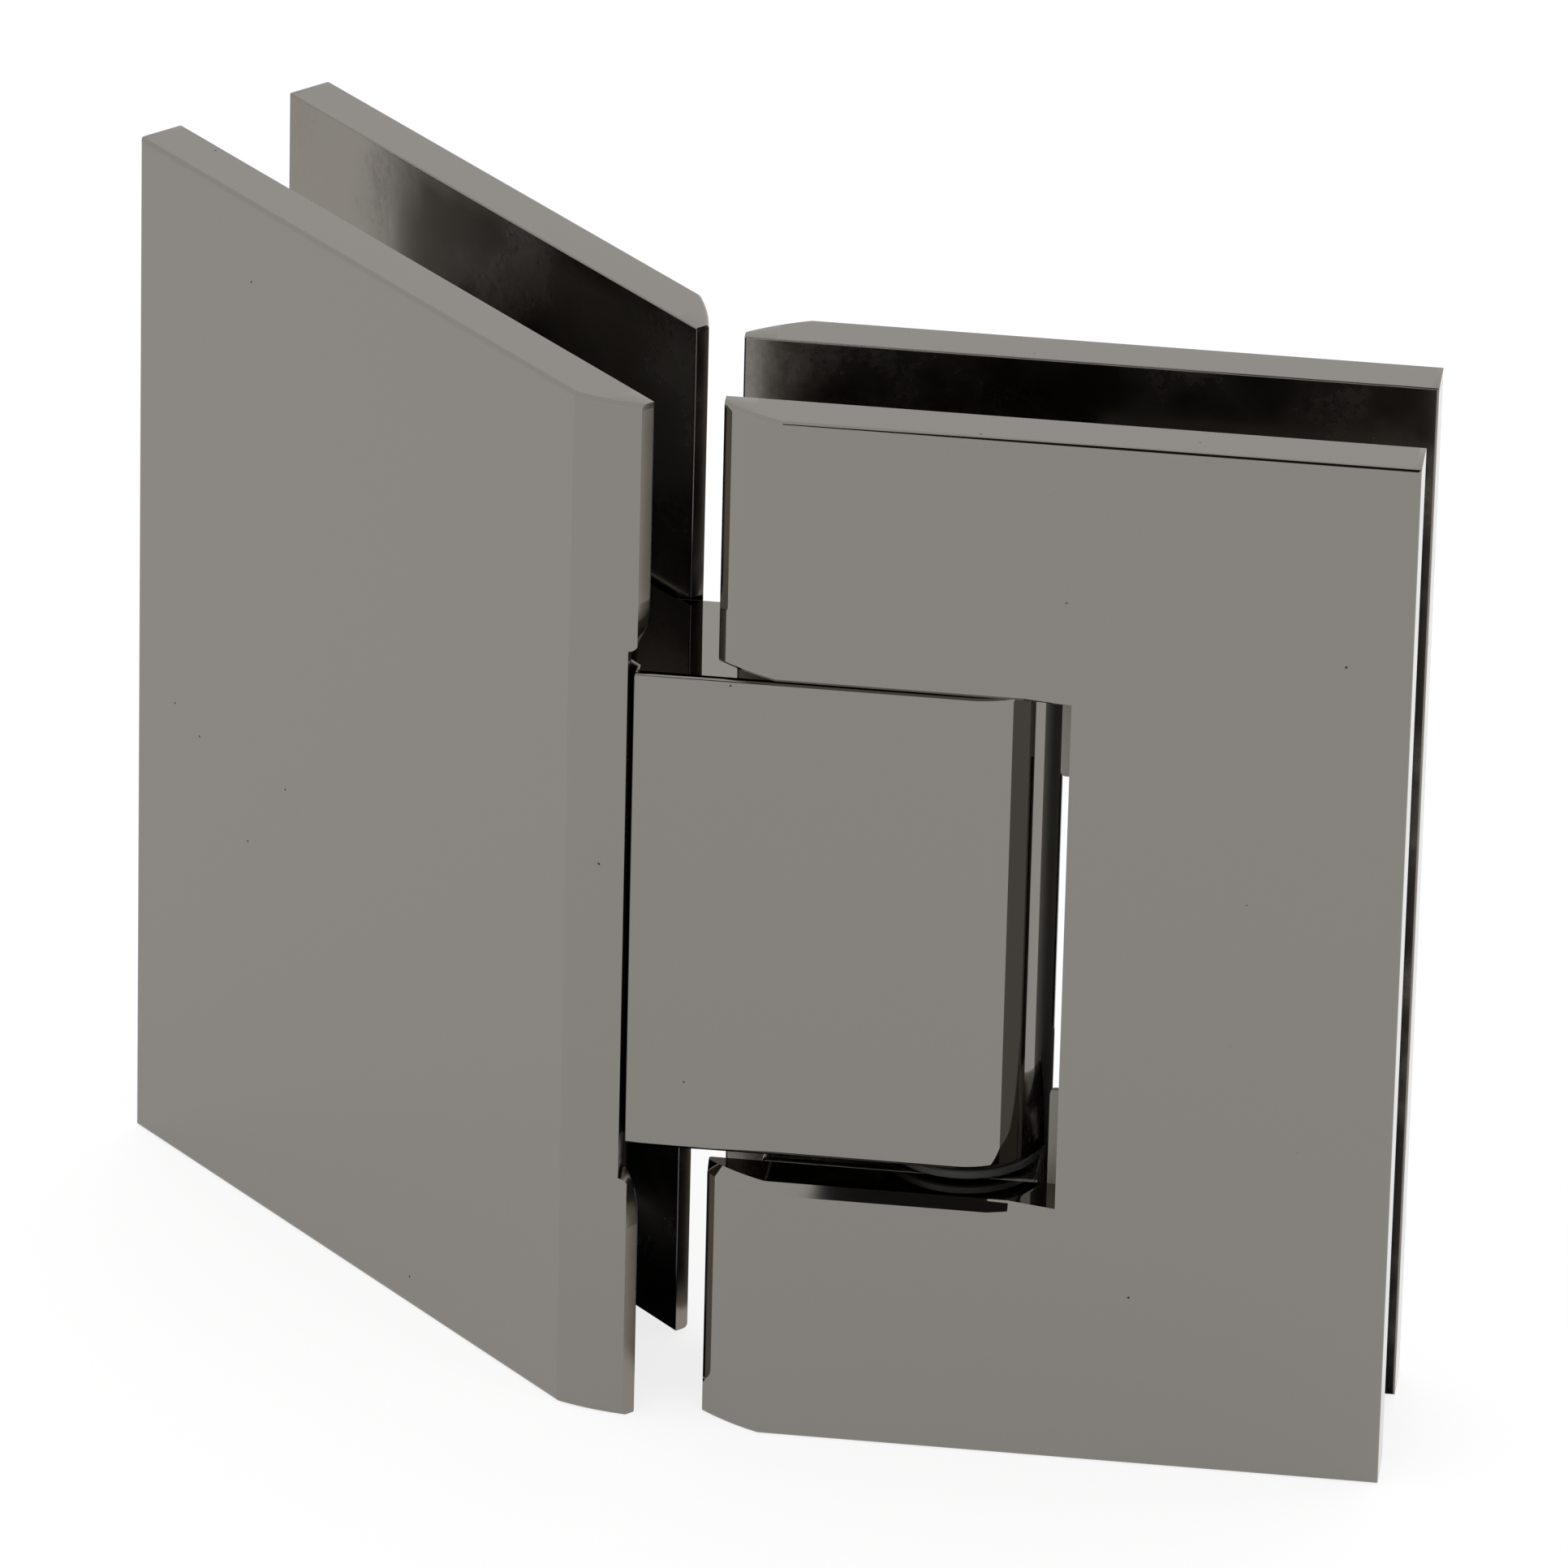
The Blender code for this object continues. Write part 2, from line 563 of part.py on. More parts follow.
def coil_spring(name, place):
    """A helix away from the pin: each turn moves on by SPRING_LENGTH / SPRING_TURNS."""
    curve = bpy.data.curves.new(name, "CURVE")
    curve.dimensions = "3D"
    curve.bevel_depth = SPRING_WIRE
    curve.bevel_resolution = 1
    curve.use_fill_caps = True
    spline = curve.splines.new("POLY")
    count = SPRING_TURNS * COIL_STEPS
    spline.points.add(count)
    for i, point in enumerate(spline.points):
        angle = math.tau * SPRING_TURNS * i / count
        along = SPRING_LENGTH * i / count
        point.co = (-along, SPRING_RADIUS * math.cos(angle), SPRING_RADIUS * math.sin(angle), 1.0)
    spring = bpy.data.objects.new(name, curve)
    spring.parent = pivot_frame
    spring.location = place
    curve.materials.append(spring_steel)
    parts.objects.link(spring)


def pivot_pin():
    """Four flats for the plungers at mid-height, and a flat under each set screw."""
    shoulder = NOTCH_HEIGHT / 2 - FIT
    profile = [
        (0.0, PIN_END),
        (PIN_END_RADIUS - EASE, PIN_END),
        (PIN_END_RADIUS, PIN_END - EASE),
        (PIN_END_RADIUS, shoulder),
        (PIN_RADIUS, shoulder),
    ]
    profile += [(radius, -z) for radius, z in reversed(profile)]
    pin = turned("pivot_pin", profile, door_frame, stainless, (0.0, 0.0, MIDDLE))
    flat_half = BLOCK_HEIGHT / 2 - BUSHING_LENGTH - 3 * FIT
    for quarter in range(4):
        high = (PIN_FLAT + BEYOND, BEYOND, flat_half)
        mesh = box(f"pin_flat_{quarter}", (PIN_FLAT, -BEYOND, -flat_half), high)
        turn = (0.0, 0.0, quarter * math.pi / 2)
        cut(pin, add_object(mesh.name, mesh, door_frame, None, (0.0, 0.0, MIDDLE), turn))
    for word, level in LEVELS.items():
        middle = MIDDLE + level * CARRIER_SCREW_HEIGHT
        low = (PIN_KEY_FLAT, -BEYOND, -KEY_FLAT_HEIGHT / 2)
        mesh = box("key_flat_" + word, low, (PIN_KEY_FLAT + BEYOND, BEYOND, KEY_FLAT_HEIGHT / 2))
        cut(pin, add_object(mesh.name, mesh, door_frame, None, (0.0, 0.0, middle)))


def pin_carriers():
    """The blocks between the door plates that grip the pin's ends. It returns their screws' holes."""
    holes = []
    for word, level in LEVELS.items():
        middle = MIDDLE + level * CARRIER_SCREW_HEIGHT
        half = CARRIER_HEIGHT / 2
        low = (-CARRIER_OPEN_SIDE, -INNER_FACE, middle - half)
        mesh = box("pin_carrier_" + word, low, (CARRIER_GLASS_SIDE, INNER_FACE, middle + half))
        carrier = bevel(add_object(mesh.name, mesh, door_frame, polished), EDGE_BEVEL)
        reach = half + BEYOND
        bore = rod("carrier_bore_" + word, PIN_END_RADIUS + FIT, middle - reach, middle + reach)
        cut(carrier, add_object(bore.name, bore, door_frame, None))
        length = SCREW_HEAD_FACE + HALF_LEAF - BLIND_HOLE_WALL - FIT
        place = (CARRIER_SCREW_PLACE, SCREW_HEAD_FACE, middle)
        hole = flat_screw("carrier_screw_" + word, door_frame, CARRIER_SCREW, length, place)
        cut(carrier, hole, set_screw(word, middle))
        holes.append(hole)
    return holes


def set_screw(word, height):
    """A headless screw from the glass side on to the pin. It returns the cutter for its hole."""
    tip = PIN_KEY_FLAT + FIT
    length = CARRIER_GLASS_SIDE - FIT - tip
    place = (tip, 0.0, height)
    name = "pin_set_screw_" + word
    headless(name, door_frame, SET_SCREW_RADIUS, length, place, FACING_GLASS)
    hole = rod(name + "_hole", SET_SCREW_RADIUS + FIT, -tip, length + BEYOND, SMALL_ROUND_STEPS)
    return add_object(hole.name, hole, door_frame, None, place, FACING_GLASS)


def door_leaf():
    along = DOOR_END - CLAMP_SCREW_INSET
    front = plate("door_front_plate", door_frame, -PIVOT_INSET, DOOR_END, -1)
    back = plate("door_back_plate", door_frame, -PIVOT_INSET, DOOR_END, 1)
    notch = notch_cutter()
    posts, holes = clamp_screws("door", door_frame, along)
    cut(front, *posts, operation="UNION")
    cut(front, notch, *holes, *pin_carriers())
    cut(back, notch, *holes)
    outer = DOOR_END - GASKET_END_INSET
    outline = gasket_outline(outer, GASKET_LUG, GASKET_RECESS, GASKET_RECESS_HEIGHT)
    gasket("door_front_gasket", door_frame, outline, along, -1)
    gasket("door_back_gasket", door_frame, outline, along, 1)
    pivot_pin()


def fixed_leaf():
    along = CLAMP_SCREW_INSET - FIXED_LENGTH
    front = plate("fixed_front_plate", corner_frame, FRONT_OVERLAP, -FIXED_LENGTH, -1)
    back = plate("fixed_back_plate", corner_frame, -BACK_SETBACK, -FIXED_LENGTH, 1)
    posts, holes = clamp_screws("fixed", corner_frame, along)
    tongue_holes = block_screws()
    cut(front, *posts, operation="UNION")
    cut(front, front_notch(), *holes, *tongue_holes)
    cut(back, back_notch(), *holes)
    outer = GASKET_END_INSET - FIXED_LENGTH
    outline = gasket_outline(outer, -FIXED_GASKET_LUG, -TONGUE_REACH - 2 * FIT, BLOCK_HEIGHT + 4 * FIT)
    gasket("fixed_front_gasket", corner_frame, outline, along, -1)
    gasket("fixed_back_gasket", corner_frame, outline, along, 1)
    pivot_block(tongue_holes)
    bushings_and_washers()
    for word, level in LEVELS.items():
        detent(word, level)


# Turns that point a piece's own +Z somewhere else
FACING_BACK = (-math.pi / 2, 0.0, 0.0)
FACING_GLASS = (0.0, math.pi / 2, 0.0)
FACING_CORNER = (0.0, -math.pi / 2, 0.0)
STANDING = (math.pi / 2, 0.0, 0.0)  # a flat outline stood up along the leaf
ALONG_X = (math.pi / 2, 0.0, math.pi / 2)  # an outline across the leaf, swept along it

clear_scene()
parts = new_collection("shower_door_hinge")
cutters = new_collection("cutters", helpers=True)

polished = new_material("polished_nickel", (0.27, 0.25, 0.23), 1.0, 0.12)
stainless = new_material("stainless_steel", (0.42, 0.41, 0.4), 1.0, 0.3)
spring_steel = new_material("spring_steel", (0.2, 0.2, 0.21), 1.0, 0.35)
acetal = new_material("acetal", (0.045, 0.045, 0.045), 0.0, 0.45)
vinyl = new_material("clear_vinyl", (0.35, 0.34, 0.32), 0.0, 0.4)

pivot_place = -footprint_middle()
pivot_frame = new_frame("pivot_frame", pivot_place)
door_frame = new_frame("door_frame", pivot_place)
corner_frame = new_frame("corner_frame", pivot_place + Vector((-CORNER_REACH, 0.0, 0.0)), CORNER_TURN)
fixed_leaf()
door_leaf()
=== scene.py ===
# %% [markdown]
# # A 135 degree hinge for a frameless glass shower door
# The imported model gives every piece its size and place. This file gives the same pieces a fine
# surface and a finish. Each step first says what the piece is on the real hinge, how it could be
# made in Blender, and why this way was chosen. Lengths are in millimetres until a mesh is built.

# %% Load the frame
import json
import math

import bmesh
import bpy
import numpy as np
from mathutils import Matrix

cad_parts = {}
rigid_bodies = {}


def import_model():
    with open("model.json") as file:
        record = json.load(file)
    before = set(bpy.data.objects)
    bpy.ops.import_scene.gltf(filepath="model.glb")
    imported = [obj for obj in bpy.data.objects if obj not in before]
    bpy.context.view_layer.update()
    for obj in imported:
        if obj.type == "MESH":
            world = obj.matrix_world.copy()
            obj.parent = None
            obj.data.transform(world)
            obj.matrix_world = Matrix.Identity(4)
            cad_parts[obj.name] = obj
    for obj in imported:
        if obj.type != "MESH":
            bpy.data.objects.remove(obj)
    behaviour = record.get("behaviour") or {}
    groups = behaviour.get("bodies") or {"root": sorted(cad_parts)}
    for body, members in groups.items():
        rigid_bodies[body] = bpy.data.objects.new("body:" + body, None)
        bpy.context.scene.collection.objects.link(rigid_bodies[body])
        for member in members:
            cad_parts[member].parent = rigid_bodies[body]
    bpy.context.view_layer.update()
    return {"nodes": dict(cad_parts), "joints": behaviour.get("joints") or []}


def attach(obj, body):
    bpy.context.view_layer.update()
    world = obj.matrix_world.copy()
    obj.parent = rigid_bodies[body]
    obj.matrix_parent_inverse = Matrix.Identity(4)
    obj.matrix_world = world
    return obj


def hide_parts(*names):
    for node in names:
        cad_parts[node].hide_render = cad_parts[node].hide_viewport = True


for leftover in list(bpy.data.objects):
    bpy.data.objects.remove(leftover)
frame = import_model()
MM = 0.001
print("pieces in the frame:", len(frame["nodes"]))

# %% [markdown]
# ## Two leaves, two plan frames
# Both leaves are drawn the same way: x along the leaf, y through its thickness with 0 at the
# middle, z up. The door leaf's own frame sits on the pivot axis. The fixed leaf's sits where the
# two middle planes cross, and is turned by 45 degrees, so its plates run towards -x. A piece could
# also be drawn straight in world axes, but then every number of the slanted leaf would be a sum
# of two others. Sizes are measured on the CAD nodes, so the new surfaces can't drift from them.

# %% Leaf frames and measuring
swing = next(joint for joint in frame["joints"] if joint["name"] == "door_swing")
PIVOT = np.array(swing["pos_m"]) / MM
CORNER_REACH = 24.75
LEAVES = {
    "door": (PIVOT, 0.0),
    "fixed": (PIVOT - [CORNER_REACH, 0.0, 0.0], math.radians(-45.0)),
}
LEVELS = ("upper", "lower")


def turn_matrix(angle):
    """Rotation about Z: its columns are where the x, y and z axes go."""
    c, s = math.cos(angle), math.sin(angle)
    return np.array([[c, -s, 0.0], [s, c, 0.0], [0.0, 0.0, 1.0]])


def to_world(points, leaf):
    """Leaf millimetres to world metres: turn, then shift to the leaf's own origin."""
    origin, angle = LEAVES[leaf]
    return (points @ turn_matrix(angle).T + origin) * MM


def span(node, leaf):
    """Lowest and highest corner of a CAD node, measured in a leaf's own frame, in millimetres."""
    mesh = frame["nodes"][node].data
    points = np.empty(len(mesh.vertices) * 3)
    mesh.vertices.foreach_get("co", points)
    origin, angle = LEAVES[leaf]
    local = (points.reshape(-1, 3) / MM - origin) @ turn_matrix(angle)
    return local.min(axis=0), local.max(axis=0)


HEIGHT = span("door_back_plate", "door")[1][2]
MIDDLE = HEIGHT / 2
GAP_FACE = span("door_back_plate", "door")[0][1]  # middle plane to a plate's inner face
LEAF_FACE = span("door_back_plate", "door")[1][1]  # middle plane to its outer face
CARRIER_FACE = span("pin_carrier_upper", "door")[1][1]
BLOCK_LOW, BLOCK_HIGH = span("pivot_block", "door")
NOSE = BLOCK_HIGH[0]
FIT = GAP_FACE - CARRIER_FACE
print("height, gap, nose, fit:", np.round([HEIGHT, 2 * GAP_FACE, NOSE, FIT], 2))

# %% [markdown]
# ## Colours and nodes
# A hex colour is what a screen shows, and a shader wants light, so one function undoes the screen's
# curve. Another adds a node with its settings and links, which keeps each material to a few lines.

# %% Colour and node helpers
def linear(hex_colour):
    """sRGB hex to linear RGBA: c / 12.92 up to 0.04045, else ((c + 0.055) / 1.055) ^ 2.4."""
    values = np.array([int(hex_colour[i : i + 2], 16) / 255 for i in (1, 3, 5)])
    low = values / 12.92
    high = ((values + 0.055) / 1.055) ** 2.4
    return (*np.where(values <= 0.04045, low, high).tolist(), 1.0)


def add_node(tree, kind, settings=(), **links):
    """A node of that kind. A setting is an attribute or an input's value, a link an output socket."""
    node = tree.nodes.new(kind)
    for key, value in dict(settings).items():
        if key in node.inputs:
            node.inputs[key].default_value = value
        else:
            setattr(node, key, value)
    for key, socket in links.items():
        tree.links.new(socket, node.inputs[key.replace("_", " ")])
    return node


def new_material(name, settings):
    """A material with one Principled shader, its constants set on the shader's own sockets."""
    made = bpy.data.materials.new(name)
    made.use_nodes = True
    shader = made.node_tree.nodes["Principled BSDF"]
    for key, value in settings.items():
        shader.inputs[key].default_value = value
    return made, made.node_tree, shader


def mapped(tree, value, low, high, from_low=0.3, from_high=0.7):
    """A value stretched from one range to another. Noise lies mostly between 0.3 and 0.7."""
    ranges = {"From Min": from_low, "From Max": from_high, "To Min": low, "To Max": high}
    return add_node(tree, "ShaderNodeMapRange", ranges, Value=value).outputs["Result"]


def noise(tree, place, size_mm, detail=2.0):
    """Noise whose features are about size_mm long: on Object coordinates, scale is one over a size."""
    settings = {"Scale": 1 / (size_mm * MM), "Detail": detail}
    return add_node(tree, "ShaderNodeTexNoise", settings, Vector=place).outputs["Fac"]


def bumped(tree, height, height_mm):
    """A normal tilted by a height map whose full swing is height_mm."""
    settings = {"Strength": 1.0, "Distance": height_mm * MM}
    return add_node(tree, "ShaderNodeBump", settings, Height=height).outputs["Normal"]


# %% [markdown]
# ## Polished nickel plate
# The plates, the block and the pin carriers are brass, buffed, nickel plated and polished. That
# gives a warm grey mirror. A perfect mirror looks drawn, so three things break it up. Buffing
# leaves a slow waviness, some millimetres long, that bends reflections a little. Handling leaves
# faint patches that are slightly rougher. And a plated face has a few pits. They are not cut into
# the mesh: painted shade darkens the colour very near the centres of a Voronoi pattern's cells,
# where the pits' hollows would be in shade. One over the cell size sets how far apart.

# %% Polished nickel
PIT_SPACING = 5.0


def painted_pit_shade(tree, place, colour, cell_mm, shaded_pit_mm):
    """The colour with painted pit shade: darkened near the centres of cells that are cell_mm apart, out to
    the pit size.
    """
    settings = {"Scale": 1 / (cell_mm * MM)}
    # Painted shade: the colour goes dark where the pits' hollows would be in shade.
    cells = add_node(tree, "ShaderNodeTexVoronoi", settings, Vector=place).outputs["Distance"]
    clear = mapped(tree, cells, 0.15, 1.0, shaded_pit_mm / cell_mm * 0.6, shaded_pit_mm / cell_mm)
    dark = add_node(tree, "ShaderNodeVectorMath", {"operation": "SCALE"}, Scale=clear)
    dark.inputs[0].default_value = colour[:3]
    return dark.outputs["Vector"]


def polished_metal(name, colour, rough_low, rough_high, patch_mm, wave_mm, wave_height_mm, shaded_pit_mm=0.0):
    made, tree, shader = new_material(name, {"Base Color": linear(colour), "Metallic": 1.0})
    place = add_node(tree, "ShaderNodeTexCoord").outputs["Object"]
    rough = mapped(tree, noise(tree, place, patch_mm), rough_low, rough_high)
    tree.links.new(rough, shader.inputs["Roughness"])
    waves = noise(tree, place, wave_mm)
    tree.links.new(bumped(tree, waves, wave_height_mm), shader.inputs["Normal"])
    # The pits' shade is painted into the base colour.
    if shaded_pit_mm:
        tree.links.new(painted_pit_shade(tree, place, linear(colour), PIT_SPACING, shaded_pit_mm), shader.inputs["Base Color"])
    return made


nickel = polished_metal("polished nickel plate on brass", "#837F7A", 0.015, 0.045, 9.0, 12.0, 0.006, 0.13)

# %% [markdown]
# The faces that grip the glass are out of sight, so they are only ground and plated, not buffed.
# They stay a soft mirror, mottled where the grinding belt skipped. Fine and coarse noise multiplied
# give that broken texture, and the same product drives both the roughness and a shallow bump. The
# plates' milled inner ends get a finer version of it, and so do the steel screws and springs.

# %% Ground and milled nickel, turned steel, spring wire
def ground_metal(name, colour, rough_low, rough_high, coarse_mm, fine_mm, depth_mm):
    made, tree, shader = new_material(name, {"Base Color": linear(colour), "Metallic": 1.0})
    place = add_node(tree, "ShaderNodeTexCoord").outputs["Object"]
    coarse = mapped(tree, noise(tree, place, coarse_mm), 0.0, 1.0, 0.45, 0.7)
    fine = noise(tree, place, fine_mm, 6.0)
    product = add_node(tree, "ShaderNodeMath", {"operation": "MULTIPLY"})
    tree.links.new(coarse, product.inputs[0])
    tree.links.new(fine, product.inputs[1])
    broken = product.outputs["Value"]
    tree.links.new(mapped(tree, broken, rough_low, rough_high, 0.0, 0.6), shader.inputs["Roughness"])
    tree.links.new(bumped(tree, broken, depth_mm), shader.inputs["Normal"])
    return made


ground_nickel = ground_metal("ground nickel plate on brass", "#807B75", 0.17, 0.36, 9.0, 0.7, 0.02)
milled_nickel = ground_metal("milled nickel plate on brass", "#857F78", 0.2, 0.3, 6.0, 0.4, 0.004)
stainless = ground_metal("turned stainless steel", "#A3A19C", 0.2, 0.32, 3.0, 0.15, 0.004)
spring_wire = ground_metal("drawn spring steel wire", "#76767A", 0.25, 0.38, 1.5, 0.1, 0.003)

# %% [markdown]
# ## Acetal and vinyl
# The bushings and washers are black acetal, moulded, with a fine satin skin. The gaskets are a
# soft clear vinyl sheet, which looks grey against metal. Both get a shallow bump, and a roughness
# that varies a little, because moulded and extruded skins are never evenly glossy.

# %% Plastics
def plastic(name, colour, rough_low, rough_high, transmission=0.0):
    settings = {"Base Color": linear(colour), "IOR": 1.48, "Transmission Weight": transmission}
    made, tree, shader = new_material(name, settings)
    place = add_node(tree, "ShaderNodeTexCoord").outputs["Object"]
    skin = noise(tree, place, 0.4, 3.0)
    tree.links.new(mapped(tree, skin, rough_low, rough_high), shader.inputs["Roughness"])
    tree.links.new(bumped(tree, skin, 0.01), shader.inputs["Normal"])
    return made


acetal = plastic("moulded black acetal", "#3B3B3A", 0.28, 0.4)
vinyl = plastic("extruded clear vinyl", "#8E8A82", 0.3, 0.45, 0.25)
print("materials:", len(bpy.data.materials))

# %% [markdown]
# ## From arrays to a closed mesh
# Every piece ends up as sheets: an array of points and an array of four-cornered faces. Sheets
# meet at shared points, and merging those closes the seams. Flat ends with holes in them are the
# exception: a grid fits them badly, and a triangulated fill between their outlines fits exactly.
# A weighted normal modifier comes last. It lets big flat faces keep flat shading, so that only the
# small roundings bend a reflection, as on a real polished edge.

# %% Mesh helpers
OUTSIDE, GRIPPING, MILLED_END = range(3)  # which of a piece's finishes a sheet takes


def grid_faces(rows, columns, wrap=False):
    """Faces of a grid of points numbered row by row. wrap joins the last column to the first."""
    across = np.arange(columns if wrap else columns - 1)
    i, j = (index.ravel() for index in np.meshgrid(np.arange(rows - 1), across, indexing="ij"))
    right = (j + 1) % columns
    corners = [i * columns + j, i * columns + right, (i + 1) * columns + right, (i + 1) * columns + j]
    return np.stack(corners, axis=1)


def ring_sheet(points, finish=OUTSIDE):
    """A sheet from rings of points: each is joined to the next, and round to its own start."""
    rows, columns = points.shape[:2]
    return points.reshape(-1, 3), grid_faces(rows, columns, wrap=True), finish


def mesh_from(name, sheets, leaf, flat_ends=()):
    """Sheets joined into one closed mesh. flat_ends are (axis, level) of planes to fill."""
    first = np.cumsum([0] + [len(points) for points, _, _ in sheets])
    points = np.concatenate([points for points, _, _ in sheets])
    faces = np.concatenate([part + start for (_, part, _), start in zip(sheets, first)])
    finish = np.concatenate([np.full(len(part), number) for _, part, number in sheets])
    mesh = bpy.data.meshes.new(name)
    mesh.from_pydata(points, [], faces.tolist())
    mesh.polygons.foreach_set("material_index", finish)
    shape = bmesh.new()
    shape.from_mesh(mesh)
    bmesh.ops.remove_doubles(shape, verts=shape.verts, dist=0.001)
    for axis, level in flat_ends:
        rim = [
            edge
            for edge in shape.edges
            if edge.is_boundary and all(abs(vert.co[axis] - level) < 0.001 for vert in edge.verts)
        ]
        bmesh.ops.triangle_fill(shape, edges=rim, use_beauty=True)
    bmesh.ops.dissolve_degenerate(shape, edges=shape.edges, dist=0.0005)
    bmesh.ops.recalc_face_normals(shape, faces=shape.faces)
    loose = sum(not edge.is_manifold for edge in shape.edges)
    shape.to_mesh(mesh)
    shape.free()
    local = np.empty(len(mesh.vertices) * 3)
    mesh.vertices.foreach_get("co", local)
    mesh.vertices.foreach_set("co", to_world(local.reshape(-1, 3), leaf).ravel())
    if loose:
        print("OPEN EDGES", name, loose)
    return mesh


def add_piece(node, mesh, body, slot, finishes, sharp=32.0, cutters=()):
    """The finished piece of a CAD node: holes cut, shading set, and riding on its body."""
    piece = bpy.data.objects.new(node + "_fine", mesh)
    bpy.context.scene.collection.objects.link(piece)
    for finish in finishes:
        mesh.materials.append(finish)
    for cutter in cutters:
        hole = piece.modifiers.new(cutter.name, "BOOLEAN")
        hole.object = cutter
    if cutters:
        graph = bpy.context.evaluated_depsgraph_get()
        carved = bpy.data.meshes.new_from_object(piece.evaluated_get(graph))
        piece.modifiers.clear()
        piece.data = carved
        for cutter in cutters:
            bpy.data.objects.remove(cutter)
    piece.data.shade_smooth()
    piece.data.set_sharp_from_angle(angle=math.radians(sharp))
    weights = piece.modifiers.new("Flat faces stay flat", "WEIGHTED_NORMAL")
    weights.keep_sharp = True
    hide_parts(node)
    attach(piece, body)
    return piece


def cutter_from(name, sheets, leaf, flat_ends=()):
    """A closed mesh as an object that only cuts."""
    cutter = bpy.data.objects.new(name, mesh_from(name, sheets, leaf, flat_ends))
    bpy.context.scene.collection.objects.link(cutter)
    return cutter


# %% [markdown]
# ## The plates
# Each leaf has two plates. On the real hinge they are cut from brass bar, then milled: a bowed
# facet down the inner end, small rounded edges all round, and a notch for the pivot block. A plate
# could be a box with Bevel and Boolean modifiers, but where many bevels meet, those leave thin
# faces that show in a mirror finish. Here a plate is two height fields over one grid, an outer and
# an inner face. The depth below the flat face is a formula, and the grid's lines are gathered where
# the depth changes.

# %% Depth formulas of a plate
EDGE = 0.4
INNER_EDGE = 0.15
FACET_RUN, FACET_DROP, FACET_BULGE = 4.8, 2.9, 0.2
LOWER_CHAMFER, UPPER_CHAMFER, CHAMFER_FADE = 0.8, 0.3, 3.8


def rounded(distance, radius):
    """Depth of a quarter-round edge at a distance from it: r - sqrt(r^2 - (r - d)^2), and 0 past r."""
    short = np.clip(radius - distance, 0.0, radius)
    return radius - np.sqrt(radius**2 - short**2)


def facet(distance):
    """Depth of the bowed facet at a distance from the plate's end.

    It is the circle through (0, FACET_DROP) and (FACET_RUN, 0) that stands FACET_BULGE off its chord.
    """
    chord = math.hypot(FACET_RUN, FACET_DROP)
    radius = (chord**2 / 4 + FACET_BULGE**2) / (2 * FACET_BULGE)
    lean = math.atan2(FACET_DROP, FACET_RUN)
    reach = radius - FACET_BULGE
    middle_x = FACET_RUN / 2 + reach * math.sin(lean)
    middle_y = FACET_DROP / 2 + reach * math.cos(lean)
    short = np.clip(distance, 0.0, FACET_RUN) - middle_x
    return np.where(distance < FACET_RUN, middle_y - np.sqrt(radius**2 - short**2), 0.0)


def near_edge(place, inward, radius, steps=6):
    """Grid lines close to an edge, spaced so that its rounding turns by equal angles."""
    angles = np.linspace(0.0, math.pi / 2, steps + 1)
    return place + inward * np.append(radius * (1 - np.cos(angles)), radius * 1.3)


def merged_lines(*groups, widest=3.0):
    """All the lines in order, without near doubles, with wide gaps filled evenly."""
    lines = np.unique(np.round(np.concatenate([np.atleast_1d(group) for group in groups]), 4))
    lines = lines[np.append(True, np.diff(lines) > 0.004)]
    parts = np.maximum(1, np.ceil(np.diff(lines) / widest)).astype(int)
    filled = [np.linspace(a, b, n, endpoint=False) for a, b, n in zip(lines, lines[1:], parts)]
    return np.append(np.concatenate(filled), lines[-1])


print("facet depth at its end, middle and face:", np.round(facet(np.linspace(0, FACET_RUN, 3)), 3))

# %% [markdown]
# ### Grid sheets, walls and round features
# Cells of the grid that a notch takes away are masked out, and a wall is drawn from the outer to
# the inner face wherever a solid cell has none beside it. Where a screw or a post goes through, a
# square of cells is left open and a stack of rings fills it, from the square's rim to the hole. The
# rings start as squares and end as circles, with a blend in between, so no face is folded.

# %% Sheets of a slab
SQUARE = 1.15  # half of a round feature's square, in radii


def wall_edges(solid, number):
    """Grid edges, as pairs of point numbers, that have a solid cell on one side only."""
    padded = np.pad(solid, 1)
    rows, columns = number.shape
    found = []
    for down, across, a, b in (
        (-1, 0, number[:-1, :-1], number[:-1, 1:]),
        (1, 0, number[1:, :-1], number[1:, 1:]),
        (0, -1, number[:-1, :-1], number[1:, :-1]),
        (0, 1, number[:-1, 1:], number[1:, 1:]),
    ):
        beside = padded[1 + down : rows + down, 1 + across : columns + across]
        bare = solid & ~beside
        found.append(np.stack([a[bare], b[bare]], axis=1))
    return np.concatenate(found)


def opening_rim(grid, cells):
    """The points round a rectangle of cells, in order."""
    i0, i1, j0, j1 = cells
    return np.concatenate([grid[i0:i1, j0], grid[i1, j0:j1], grid[i1:i0:-1, j1], grid[i0, j1:j0:-1]])


def circle_at(angles, centre, radius, y):
    """A circle about y through those angles, at a centre in x and z."""
    x = centre[0] + radius * np.cos(angles)
    z = centre[1] + radius * np.sin(angles)
    return np.stack([x, np.full(len(angles), y), z], axis=-1)


def square_to_circle(rim, centre, radius, y, steps=3):
    """Rings from a square rim to a circle at the rim's own angles: (1 - t) rim + t circle."""
    angles = np.arctan2(rim[:, 2] - centre[1], rim[:, 0] - centre[0])
    share = np.linspace(0.0, 1.0, steps + 1)[:, None, None]
    return (1 - share) * rim + share * circle_at(angles, centre, radius, y), angles


def cells_about(x_lines, z_lines, centre, half):
    """The rectangle of cells within half of a centre, for lines that include its sides."""
    i0, i1 = (int(np.argmin(abs(x_lines - centre[0] - side * half))) for side in (-1, 1))
    j0, j1 = (int(np.argmin(abs(z_lines - centre[1] - side * half))) for side in (-1, 1))
    return i0, i1, j0, j1


